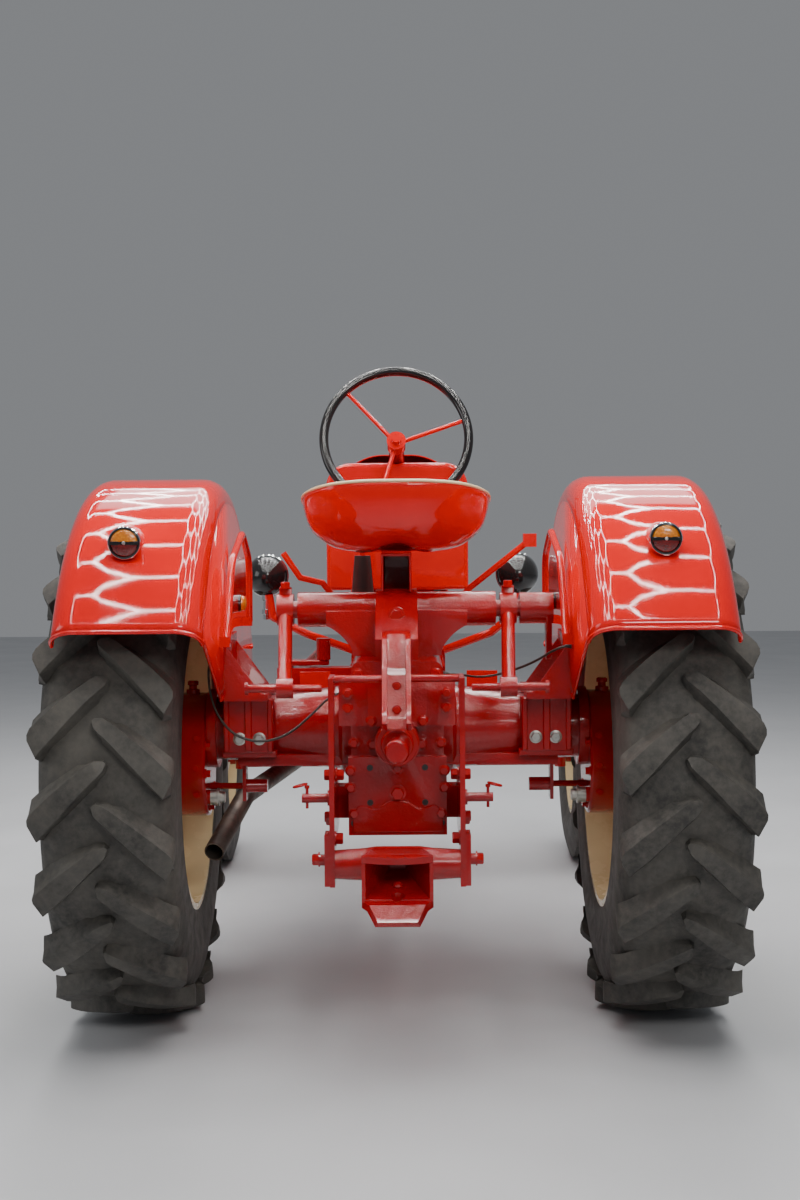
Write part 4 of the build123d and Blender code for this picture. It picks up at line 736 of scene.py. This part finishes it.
def front_tyre(side_name):
    centre, half, outer_r = wheel_size(f"front_tyre_{side_name}")
    bead_r = wheel_size(f"front_rim_{side_name}")[2] - 0.017
    seat_half = FRONT_SEAT_HALF
    rib = FRONT_RIB
    base = outer_r - rib
    tall = base - bead_r
    side_wall = [
        (seat_half - 0.003, bead_r - 0.002), (seat_half + 0.004, bead_r + 0.006),
        (seat_half + 0.010, bead_r + 0.016), (half * 0.95, bead_r + tall * 0.32),
        (half, bead_r + tall * 0.52), (half * 0.97, bead_r + tall * 0.72),
        (half * 0.88, bead_r + tall * 0.88)]
    ribs = [(half * 0.80, base), (half * 0.78, base + rib * 0.45), (half * 0.52, base + rib * 0.62),
            (half * 0.50, base + 0.001), (half * 0.24, base + 0.002), (half * 0.20, base + rib),
            (half * 0.06, base + rib)]
    half_section = side_wall + ribs
    section = [(-x, r) for x, r in half_section] + [(x, r) for x, r in reversed(half_section)]
    bm = bmesh.new()
    add_revolved_shell(bm, centre, section, FRONT_STEPS)
    obj = finish_mesh(f"front_tyre_tread_{side_name}", bm, TYRE, f"front_wheel_{side_name}", 40)
    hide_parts(f"front_tyre_{side_name}")


for side_name, side in SIDES:
    rear_tyre(side_name, side)
    front_tyre(side_name)

# ------------------------------------------------------------------ castings with rounded edges
ROUNDED = {
    "gearbox_housing": 0.006, "clutch_housing": 0.008, "axle_housings": 0.004, "final_drives": 0.006,
    "lift_housing": 0.006, "fender_brackets": 0.0025, "hitch_frame": 0.003, "hitch_jaw": 0.004,
    "top_link_bracket": 0.003, "lift_arms": 0.004, "engine_block": 0.006, "cylinders": 0.004,
    "axle_bracket": 0.005, "front_axle": 0.005, "steering_pedestal": 0.004, "knuckle_left": 0.003,
    "knuckle_right": 0.003, "footplates": 0.001, "seat_bracket": 0.002, "brake_linkage": 0.002,
    "radiator": 0.003, "levers": 0.002, "drop_arm": 0.003,
}
for node_name, width in ROUNDED.items():
    bevelled_copy(node_name, width)

# ------------------------------------------------------------------ mudguards
GUARD_BACK = 32.0      # degrees above level
GUARD_SWEEP = 126.0
GUARD_SHOULDER = 0.058
GUARD_LIP = 0.064
WALL_DROP = 0.060
WALL_BACK = 32.8
WALL_FRONT = 164.3
SHEET = 0.0028


def guard_point(x, radius, degrees):
    """Point on a circle round the rear axle; degrees are above level, from straight behind."""
    a = math.radians(degrees)
    return Vector((x, REAR_Y + radius * math.cos(a), REAR_AXLE.z + radius * math.sin(a)))


def spread(first, last, count):
    return [first + (last - first) * index / count for index in range(count + 1)]


def mudguard(side_name, side):
    """Pressed sheet: crown with rounded shoulders, rolled edges, and an inner wall with a raised arch."""
    low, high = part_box(f"fender_{side_name}")
    inner, outer = (low.x, high.x) if side > 0 else (high.x, low.x)
    crown_r = high.z - REAR_AXLE.z - SHEET / 2
    span = abs(outer - inner)
    quarter = spread(0, math.pi / 2, 9)
    section = [(0.0, crown_r - GUARD_SHOULDER - 0.004)]
    shoulder = [(GUARD_SHOULDER * (1 - math.cos(a)), crown_r - GUARD_SHOULDER * (1 - math.sin(a)))
                for a in quarter]
    section += shoulder
    section += [(span * share, crown_r) for share in (0.35, 0.5, 0.65)]
    section += [(span - s, r) for s, r in reversed(shoulder)]
    section.append((span, crown_r - GUARD_LIP))
    bm = bmesh.new()
    rows = [ring(bm, [guard_point(inner + side * s, r, degrees) for s, r in section])
            for degrees in spread(GUARD_BACK, GUARD_BACK + GUARD_SWEEP, 72)]
    for first, second in zip(rows, rows[1:]):
        bridge(bm, first, second, closed=False)
    crown = finish_mesh(f"mudguard_crown_{side_name}", bm, RED_SHEET, "chassis", 50)
    thicken(crown, SHEET)
    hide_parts(f"fender_{side_name}")

    bm = bmesh.new()
    for degrees in (GUARD_BACK, GUARD_BACK + GUARD_SWEEP):
        tube(bm, [guard_point(inner + side * s, r - 0.001, degrees) for s, r in section], 0.0050, 10)
    tube(bm, [guard_point(outer - side * 0.001, crown_r - GUARD_LIP, degrees)
              for degrees in spread(GUARD_BACK, GUARD_BACK + GUARD_SWEEP, 48)], 0.0040, 8)
    finish_mesh(f"mudguard_beads_{side_name}", bm, RED_SHEET, "chassis", 60)

    bm = bmesh.new()
    rim = [guard_point(inner, crown_r - WALL_DROP, degrees) for degrees in spread(WALL_BACK, WALL_FRONT, 56)]
    foot = [at(0, y, z) for y, z in ((-150, 806), (200, 806))]
    for point in foot:
        point.x = inner
    face = bm.faces.new(ring(bm, [*rim, *foot]))
    for thickness, depth in ((0.050, 0), (0.009, 0.007), (0.030, 0), (0.009, -0.007)):
        bmesh.ops.inset_region(bm, faces=[face], thickness=thickness, depth=depth)
    thicken(finish_mesh(f"mudguard_wall_{side_name}", bm, RED_SHEET, "chassis", 24), SHEET)

    bm = bmesh.new()
    slope = [rim[0], rim[0].lerp(foot[1], 0.5), rim[0].lerp(foot[1], 0.95), foot[1] + FORWARD * 0.03, foot[0]]
    tube(bm, curve_through(slope, 6), 0.0045, 10)
    finish_mesh(f"mudguard_wall_bead_{side_name}", bm, RED_SHEET, "chassis", 60)


for side_name, side in SIDES:
    mudguard(side_name, side)


# ------------------------------------------------------------------ lamps
def tail_lamp(side_name, side):
    """Round lamp: dark bezel, amber dome above and dark red dome below a bar with a screw."""
    low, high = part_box("tail_lamps")
    radius = (high.z - low.z) / 2
    centre = Vector((side * (high.x - radius), high.y, (low.z + high.z) / 2))
    lens_r = radius - 0.0055
    turned(f"tail_lamp_body_{side_name}", "chassis", BLACK_GLOSS, [
        (centre + FORWARD * 0.072, BACKWARD, [
            (0, radius * 0.86), (0.056, radius * 0.95), (0.062, radius), (0.071, radius),
            (0.0755, radius - 0.002), (0.0765, lens_r), (0.070, lens_r), (0.070, 0)])],
        steps=64, stands_for=("tail_lamps",) if side > 0 else ())
    turned(f"tail_lamp_ring_{side_name}", "chassis", CHROME, [
        (centre + FORWARD * 0.003, BACKWARD, [
            (0, radius + 0.0008), (0.003, radius + 0.0008), (0.0055, radius - 0.001),
            (0.0055, lens_r + 0.001), (0, lens_r + 0.001)])],
        steps=64)
    turned(f"tail_lamp_foot_{side_name}", "chassis", RED_SHEET, [
        (centre + FORWARD * 0.080, BACKWARD, [
            (0, radius * 1.02), (0.030, radius * 0.98), (0.040, radius * 0.90), (0.040, 0)])],
        steps=48)
    bar = 0.0042
    bm = bmesh.new()
    prism(bm, [centre + Vector((x, 0.0, z)) for x, z in
               ((-lens_r, -bar), (lens_r, -bar), (lens_r, bar), (-lens_r, bar))], BACKWARD * 0.0085)
    bevel_edges(finish_mesh(f"tail_lamp_bar_{side_name}", bm, BLACK_GLOSS, "chassis"), 0.001)
    turned(f"tail_lamp_screw_{side_name}", "chassis", ZINC, [
        (centre + BACKWARD * 0.008, BACKWARD, [
            (0, 0.0040), (0.0015, 0.0038), (0.0026, 0.0024), (0.0026, 0)])],
        steps=20)
    arc = 32
    for half_name, way, material in (("amber", 1, AMBER), ("dark", -1, DARK_RED)):
        bm = bmesh.new()
        rows = []
        for share in spread(0, 1, 8)[1:]:
            reach = lens_r * math.sin(share * math.pi / 2)
            rise = 0.009 * math.cos(share * math.pi / 2)
            lift = bar * (1 - share)
            rows.append(ring(bm, [
                centre + Vector((reach * math.cos(a), rise, way * (lift + reach * math.sin(a))))
                for a in spread(0, math.pi, arc)]))
        tip = bm.verts.new(centre + Vector((0, 0.009, way * bar)))
        for i in range(arc):
            bm.faces.new((tip, rows[0][i], rows[0][i + 1]))
        for near, far in zip(rows, rows[1:]):
            bridge(bm, near, far, closed=False)
        lens_piece = finish_mesh(f"tail_lens_{half_name}_{side_name}", bm, material, "chassis", 60)
        if side > 0:
            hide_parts("amber_lenses" if way > 0 else "red_lenses")


INDICATOR = at(427, -250, 1016)


def indicator(side_name, side):
    start = Vector((INDICATOR.x * side, INDICATOR.y, INDICATOR.z))
    inward = Vector((-side, 0, 0))
    turned(f"indicator_lens_{side_name}", "chassis", AMBER, [
        (start + inward * 0.006, inward, [
            (0, 0.021), (0.006, 0.021), (0.012, 0.018), (0.016, 0.011), (0.0172, 0)])])
    turned(f"indicator_base_{side_name}", "chassis", BLACK_GLOSS, [
        (start, inward, [(0, 0.0235), (0.007, 0.0235), (0.009, 0.0220), (0.009, 0)])])


def headlamps():
    """Two round bowls on chromed necks."""
    low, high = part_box("headlamps")
    radius = (high.z - low.z) / 2
    height = (low.z + high.z) / 2
    bowls = []
    rims = []
    necks = []
    for x in (high.x - radius, low.x + radius):
        front = Vector((x, low.y, height))
        bowls.append((front + BACKWARD * 0.010, BACKWARD, [
            (0, radius - 0.004), (0.012, radius - 0.002), (0.035, radius * 0.95), (0.058, radius * 0.84),
            (0.078, radius * 0.64), (0.091, radius * 0.38), (0.0965, radius * 0.16), (0.0975, 0)]))
        rims.append((front, BACKWARD, [
            (0, radius - 0.008), (0.001, radius - 0.003), (0.006, radius), (0.014, radius),
            (0.018, radius - 0.004), (0.012, radius - 0.008)]))
        neck_top = Vector((x, (low.y + high.y) / 2, height - radius + 0.010))
        necks.append((neck_top, DOWN, [
            (0, 0.016), (0.016, 0.016), (0.020, 0.011), (0.046, 0.011), (0.048, 0.017), (0.062, 0.017),
            (0.064, 0.012), (0.080, 0.012)]))
    turned("headlamp_bowls", "chassis", BLACK_GLOSS, bowls, steps=72, smooth=60, stands_for=("headlamps",))
    turned("headlamp_rims", "chassis", CHROME, rims, steps=72)
    turned("headlamp_necks", "chassis", CHROME, necks, steps=32)


for side_name, side in SIDES:
    tail_lamp(side_name, side)
    indicator(side_name, side)
headlamps()


# ------------------------------------------------------------------ seat
# half width, half depth and rise above the seat's floor, in millimetres
SEAT_SECTIONS = (
    (96, 66, 0), (150, 110, 10), (184, 140, 28), (218, 170, 62), (236, 186, 120), (240, 192, 194))
# distance behind the rear axle and height of the edge, in millimetres
SEAT_RIM = ((-260, 1238), (-150, 1262), (-40, 1290), (60, 1316), (110, 1329), (145, 1336), (200, 1338))
SEAT_MIDDLE_Y = -40
SEAT_INSET = 1.6        # the sheet's face lies this far inside the sections, in millimetres
SEAT_ROUNDING = 0.92    # below 1 squares the seat's outline
RIDGE_HEIGHT = 20
RIDGE_WIDTH = 46
RIDGE_TOP = 50          # the ridge has died out at this rise


def rim_height(y):
    """Height of the seat's edge at a distance behind the rear axle, in millimetres."""
    for (y0, z0), (y1, z1) in zip(SEAT_RIM, SEAT_RIM[1:]):
        if y <= y1:
            return z0 + (z1 - z0) * max(0.0, (y - y0) / (y1 - y0))
    return SEAT_RIM[-1][1]


def seat():
    """Pan seat: rounded bowl, raised in the middle underneath, with a cream bead along its rim."""
    low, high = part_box("seat_pan")
    floor_z = low.z * 1000
    profile = curve_through([Vector(p) for p in SEAT_SECTIONS], 8)
    columns = 96
    bm = bmesh.new()
    edge = []
    grid = []
    for index in range(columns):
        a = 2 * math.pi * index / columns
        across = math.copysign(abs(math.cos(a)) ** SEAT_ROUNDING, math.cos(a))
        along = math.copysign(abs(math.sin(a)) ** SEAT_ROUNDING, math.sin(a))
        column = []
        for half, depth, rise in profile:
            x = (half - SEAT_INSET) * across
            y = SEAT_MIDDLE_Y + (depth - SEAT_INSET) * along
            z = floor_z + SEAT_INSET + rise
            z += RIDGE_HEIGHT * math.exp(-(x / RIDGE_WIDTH) ** 2) * max(0.0, 1 - rise / RIDGE_TOP)
            top = rim_height(y)
            column.append(at(x, y, top - 1.5 if z >= top - 1 else z))
        edge.append(column[-1])
        grid.append(column)
    rows = [ring(bm, [grid[c][r] for c in range(columns)]) for r in range(len(profile))]
    for first, second in zip(rows, rows[1:]):
        bridge(bm, first, second)
    bm.faces.new(rows[0])
    bmesh.ops.remove_doubles(bm, verts=bm.verts, dist=0.0002)
    bmesh.ops.dissolve_degenerate(bm, edges=bm.edges, dist=0.0001)
    pan = finish_mesh("seat_bowl", bm, RED_SHEET, "chassis", 60)
    thicken(pan, 0.003, offset=-1)
    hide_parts("seat_pan")
    bm = bmesh.new()
    tube(bm, edge, 0.0042, 10, closed=True)
    finish_mesh("seat_bead", bm, CREAM, "chassis", 60)


seat()

# ------------------------------------------------------------------ fasteners and fittings on the castings
gearbox_skin = skin("gearbox_housing", "lift_housing")
GEARBOX_STARTS = (both((119, 700, 824), (119, 700, 788), (94, 700, 870), (62, 700, 759), (105, 700, 703),
                       (60, 700, 700), (104, 700, 537), (112, 700, 640), (112, 700, 600))
                  + [at(0, 700, 645)])
bolts("gearbox_rear_bolts", "chassis", RED_STEEL, gearbox_skin, FORWARD, GEARBOX_STARTS, 0.019)
bolts("level_plug", "chassis", RED_STEEL, gearbox_skin, FORWARD, [at(0, 700, 586)], 0.028, height=0.018)
bolts("lift_plug", "chassis", RED_STEEL, gearbox_skin, FORWARD, [at(0, 700, 1004)], 0.030, height=0.008)
bolts("lift_housing_bolts", "chassis", RED_STEEL, gearbox_skin, DOWN,
      both((92, -140, 1300), (60, -200, 1300)), 0.018)
for side_name, side in SIDES:
    bolts(f"gearbox_side_bolts_{side_name}", "chassis", RED_STEEL, gearbox_skin, Vector((-side, 0, 0)),
          [at(400 * side, y, z) for y in (-160, -240, -320, -400, -480) for z in (540, 850)], 0.017)


def gearbox_cover():
    """Lower cover with a wavy top edge, black discs of painted shade over the screw holes, and the drain
    boss.
    """
    face = land(gearbox_skin, at(0, 700, 560), FORWARD)
    back = (face.y - REAR_Y) * 1000
    top = curve_through([at(x, back - 2, z) for x, z in
                         ((-108, 530), (-92, 556), (-52, 549), (-22, 566),
                          (22, 566), (52, 549), (92, 556), (108, 530))], 6)
    bm = bmesh.new()
    prism(bm, [at(-108, back - 2, 492), *top, at(108, back - 2, 492)], BACKWARD * 0.008)
    bevel_edges(finish_mesh("gearbox_lower_cover", bm, RED_CAST, "chassis", 30), 0.002)
    # Black discs on the screw holes: painted shade standing in for the dark inside of each hole, not a black
    # part
    holes = []
    for x, z in ((66, 647), (66, 563), (105, 513)):
        for way in (1, -1):
            spot = land(gearbox_skin, at(x * way, 700, z), FORWARD)
            holes.append((spot + FORWARD * 0.002, BACKWARD, [(0, 0.0075), (0.0025, 0.0075), (0.0025, 0)]))
    turned("gearbox_hole_shade_discs", "chassis", BLACK_SATIN, holes, steps=20)
    drain = at(0, back - 30, 500)
    turned("gearbox_drain_boss", "chassis", RED_CAST, [
        (drain, DOWN, [(0, 0.016), (0.010, 0.016), (0.012, 0.012), (0.015, 0.012), (0.0155, 0)])])
    ring_low, ring_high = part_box("pto_cap")
    middle_z = (ring_low.z + ring_high.z) / 2
    turned("pto_flange_ring", "chassis", RED_STEEL, [
        (Vector((0, ring_low.y - 0.004, middle_z)), BACKWARD, [
            (0, 0.052), (0.003, 0.052), (0.006, 0.049), (0.006, 0.040), (0.016, 0.0385), (0.018, 0.036),
            (0.018, 0.030)])],
        steps=56)


gearbox_cover()


def axle_clamps():
    """Forged clamp that ties the mudguard bracket to the axle housing, with bright bolts."""
    bm = bmesh.new()
    for way in (1, -1):
        for x0, x1, y0, y1, z0, z1 in (
                (308, 430, 96, 124, 664, 800), (308, 322, 120, 131, 668, 798), (360, 378, 120, 130, 668, 798),
                (416, 430, 120, 131, 668, 798), (300, 436, 60, 118, 652, 668)):
            slab(bm, min(x0 * way, x1 * way), max(x0 * way, x1 * way), y0, y1, z0, z1)
    bevel_edges(finish_mesh("axle_clamps", bm, RED_CAST, "chassis", 30), 0.003)
    bm = bmesh.new()
    for x in (391, 342):
        for way in (1, -1):
            add_bolt(bm, at(x * way, 124, 700), BACKWARD, 0.022, True, 0.012)
    finish_mesh("axle_clamp_bolts", bm, ZINC, "chassis", 30)


axle_clamps()

drive_skin = skin("final_drives")
DRIVE_CENTRE = (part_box("final_drives")[0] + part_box("final_drives")[1]) / 2


def drive_bolts(side_name, side):
    """Ring of bolts on the inner face of a final drive, more on its back, and a breather on top."""
    look = Vector((side, 0, 0))
    count = 12
    starts = [Vector((side * 0.2, DRIVE_CENTRE.y + 0.110 * math.cos(a), DRIVE_CENTRE.z + 0.134 * math.sin(a)))
              for a in (2 * math.pi * (i + 0.5) / count for i in range(count))]
    bolts(f"final_drive_bolts_{side_name}", "chassis", RED_STEEL, drive_skin, look, starts, 0.017)
    top = land(drive_skin, Vector((side * 0.52, DRIVE_CENTRE.y, 1.2)), DOWN)
    turned(f"final_drive_breather_{side_name}", "chassis", RED_STEEL, [
        (top + DOWN * 0.002, UP, [(0, 0.017), (0.010, 0.017), (0.012, 0.010), (0.020, 0.010), (0.022, 0.014),
                                  (0.030, 0.014), (0.033, 0.010), (0.033, 0)])], steps=24)
    rear = [Vector((side * x, REAR_Y + 0.5, z)) for x in (0.50, 0.548) for z in (0.56, 0.63, 0.70)]
    bolts(f"final_drive_rear_bolts_{side_name}", "chassis", RED_STEEL, drive_skin, FORWARD, rear, 0.014)


for side_name, side in SIDES:
    drive_bolts(side_name, side)

lift_skin = skin("lift_arms")
bolts("lift_clamp_bolts", "lift_linkage", RED_STEEL, lift_skin, DOWN, both((282, 0, 1300)), 0.022,
      height=0.014)
hitch_skin = skin("hitch_frame", "hitch_jaw")
for side_name, side in SIDES:
    look = Vector((-side, 0, 0))
    bolts(f"hitch_side_bolts_{side_name}", "chassis", RED_STEEL, hitch_skin, look,
          [at(side * 400, y, z) for y, z in ((414, 458), (320, 540), (320, 640), (250, 520))],
          0.024, height=0.015)
    bolts(f"hitch_inner_nuts_{side_name}", "chassis", RED_STEEL, hitch_skin, -look,
          [at(side * 60, y, z) for y, z in ((400, 504), (320, 640))], 0.024, height=0.016)
bolts("bracket_bolts", "chassis", RED_STEEL, skin("top_link_bracket"), FORWARD,
      [at(0, 700, 850), at(0, 700, 800)], 0.016, height=0.006)
jaw_skin = skin("hitch_jaw")
jaw_floor = land(jaw_skin, at(0, 560, 470), DOWN)
turned("jaw_stud", "chassis", RED_STEEL, [(jaw_floor + DOWN * 0.001, UP, [
    (0, 0.011), (0.006, 0.011), (0.010, 0.008), (0.012, 0.004), (0.012, 0)])], steps=24)


def bright_pins():
    """Plated sleeves on the check-chain pins of the final drives, and linchpins on the lower link pins."""
    sleeves = []
    links = []
    for way in (1, -1):
        corners = [v.co for v in nodes["link_pins"].data.vertices if v.co.x * way > 0.43]
        y = (min(p.y for p in corners) + max(p.y for p in corners)) / 2
        z = (min(p.z for p in corners) + max(p.z for p in corners)) / 2
        radius = (max(p.z for p in corners) - min(p.z for p in corners)) / 2
        inner = min(abs(p.x) for p in corners)
        sleeves.append((Vector((way * (inner - 0.001), y, z)), Vector((way, 0, 0)), [
            (0, radius * 0.7), (0.002, radius * 0.78), (0.013, radius * 0.78), (0.014, radius + 0.003),
            (0.020, radius + 0.003), (0.021, radius + 0.0008), (0.036, radius + 0.0008)]))
        near = [v.co for v in nodes["link_pins"].data.vertices if 0.1 < v.co.x * way < 0.4]
        links.append((way, max(abs(p.x) for p in near), sum(p.y for p in near) / len(near),
                      (min(p.z for p in near) + max(p.z for p in near)) / 2))
    turned("drive_pin_sleeves", "chassis", ZINC, sleeves, steps=32)
    bm = bmesh.new()
    for way, reach, y, z in links:
        centre = Vector((way * (reach - 0.012), y, z))
        add_turned(bm, centre + DOWN * 0.024, UP, [
            (0, 0.0035), (0.046, 0.0035), (0.048, 0.006), (0.054, 0.006), (0.054, 0)], 16)
        loop = [centre + Vector((
            way * 0.016 * (1 - math.cos(a)), 0.014 * math.sin(a), 0.030 + 0.004 * math.cos(a)))
            for a in spread(0, 2 * math.pi, 24)[:-1]]
        tube(bm, loop, 0.0022, 8, closed=True)
    finish_mesh("linchpins", bm, RED_STEEL, "chassis", 40)


bright_pins()

# ------------------------------------------------------------------ wheel nuts
REAR_STUDS = (8, 0.092)       # how many, and the radius of their circle
FRONT_STUDS = (5, 0.060)
HUB_BOLT_R = 0.045


def wheel_nuts(name, end, side_name, side, axle, count, radius, size):
    """Nuts over the stud holes, set on the wheel's face between two holes."""
    face_of = skin(f"{end}_hub_{side_name}", f"{end}_rim_{side_name}")
    look = Vector((-side, 0, 0))

    def around(angle):
        return Vector((side * 1.0, axle.y + radius * math.cos(angle), axle.z + radius * math.sin(angle)))

    bm = bmesh.new()
    for index in range(count):
        angle = 2 * math.pi * index / count
        seat_face = land(face_of, around(angle + math.pi / count), look)
        hole = around(angle)
        add_bolt(bm, Vector((seat_face.x, hole.y, hole.z)), -look, size, True, size * 0.75)
    finish_mesh(f"{name}_{side_name}", bm, ZINC, f"{end}_wheel_{side_name}", 30)


for side_name, side in SIDES:
    wheel_nuts("rear_wheel_nuts", "rear", side_name, side, REAR_AXLE, *REAR_STUDS, 0.027)
    wheel_nuts("front_wheel_nuts", "front", side_name, side, FRONT_AXLE, *FRONT_STUDS, 0.022)
    circle = [Vector((side, REAR_Y + HUB_BOLT_R * math.cos(a), REAR_AXLE.z + HUB_BOLT_R * math.sin(a)))
              for a in spread(0, 2 * math.pi, 6)[:-1]]
    bolts(f"rear_hub_bolts_{side_name}", f"rear_wheel_{side_name}", ZINC, skin(f"rear_hub_{side_name}"),
          Vector((-side, 0, 0)), circle, 0.014)

# ------------------------------------------------------------------ floor and light
FLOOR_SIZE = 24.0


def pale_floor():
    made = Nodes("floor_paint")
    made.link(made.mix(made.noise(0.9, 6), rgba(0.50, 0.51, 0.53), rgba(0.56, 0.57, 0.59)), "Base Color")
    made.link(made.ramp(made.noise(2.5, 5), [(0.3, 0.34), (0.7, 0.5)]), "Roughness")
    return made.material


bm = bmesh.new()
corner = FLOOR_SIZE / 2
bm.faces.new([bm.verts.new((x, y, 0)) for x, y in (
    (-corner, -corner), (corner, -corner), (corner, corner), (-corner, corner))])
floor = mesh_object("floor", bm)
floor.data.materials.append(pale_floor())


def area_light(name, place, target, size_x, size_y, power, color=(1, 1, 1)):
    data = bpy.data.lights.new(name, "AREA")
    data.shape = "RECTANGLE"
    data.size = size_x
    data.size_y = size_y
    data.energy = power
    data.color = color
    lamp = add_object(name, data)
    lamp.location = place
    lamp.rotation_euler = (Vector(target) - Vector(place)).to_track_quat("-Z", "Y").to_euler()


world = bpy.data.worlds.new("studio")
bpy.context.scene.world = world
world.use_nodes = True
world.node_tree.nodes["Background"].inputs[0].default_value = (0.62, 0.64, 0.67, 1)
world.node_tree.nodes["Background"].inputs[1].default_value = 0.36

area_light("overhead_front", (0, REAR_Y - 3.4, 4.2), (0, REAR_Y - 2.6, 0), 3.2, 2.4, 70)
area_light("behind_camera", (-1.6, REAR_Y + 5.2, 3.4), (0, REAR_Y, 0.7), 1.6, 1.0, 80, (1.0, 0.97, 0.93))
area_light("side_fill", (4.4, REAR_Y + 1.0, 2.2), (0, REAR_Y, 0.7), 2.0, 2.0, 30)

HONEYCOMB_HEIGHT = 3.3
HONEYCOMB_SIDE = 0.42
HONEYCOMB_SHIFT = 0.16      # moves the cells sideways, in columns
STRIP_HALF = 0.009
HONEYCOMB_GLOW = 95.0


def honeycomb_lights():
    """Thin strip lights in a honeycomb above the tractor, which show as bright lines in the paint."""
    glow = bpy.data.materials.new("strip_glow")
    glow.use_nodes = True
    shader = glow.node_tree.nodes["Principled BSDF"]
    shader.inputs["Base Color"].default_value = (0, 0, 0, 1)
    shader.inputs["Emission Color"].default_value = (1.0, 0.98, 0.95, 1)
    shader.inputs["Emission Strength"].default_value = HONEYCOMB_GLOW
    edges = {}
    for column in range(-2, 3):
        for row in range(-4, 3):
            x = (column + HONEYCOMB_SHIFT) * 1.5 * HONEYCOMB_SIDE
            y = REAR_Y + (row + (0.5 if column % 2 else 0.0)) * math.sqrt(3) * HONEYCOMB_SIDE
            if column == 2 and row % 2:
                continue
            corners = [(x + HONEYCOMB_SIDE * math.cos(a), y + HONEYCOMB_SIDE * math.sin(a))
                       for a in (math.radians(60 * i) for i in range(6))]
            for first, second in zip(corners, corners[1:] + corners[:1]):
                key = (round((first[0] + second[0]) * 50), round((first[1] + second[1]) * 50))
                edges[key] = (first, second)
    bm = bmesh.new()
    for (x0, y0), (x1, y1) in edges.values():
        length = math.hypot(x1 - x0, y1 - y0)
        nx = -(y1 - y0) / length * STRIP_HALF
        ny = (x1 - x0) / length * STRIP_HALF
        outline = ((x0 + nx, y0 + ny), (x1 + nx, y1 + ny), (x1 - nx, y1 - ny), (x0 - nx, y0 - ny))
        bm.faces.new(ring(bm, [(x, y, HONEYCOMB_HEIGHT) for x, y in outline]))
    strips = mesh_object("strip_lights", bm)
    strips.data.materials.append(glow)
    strips.visible_camera = False


honeycomb_lights()
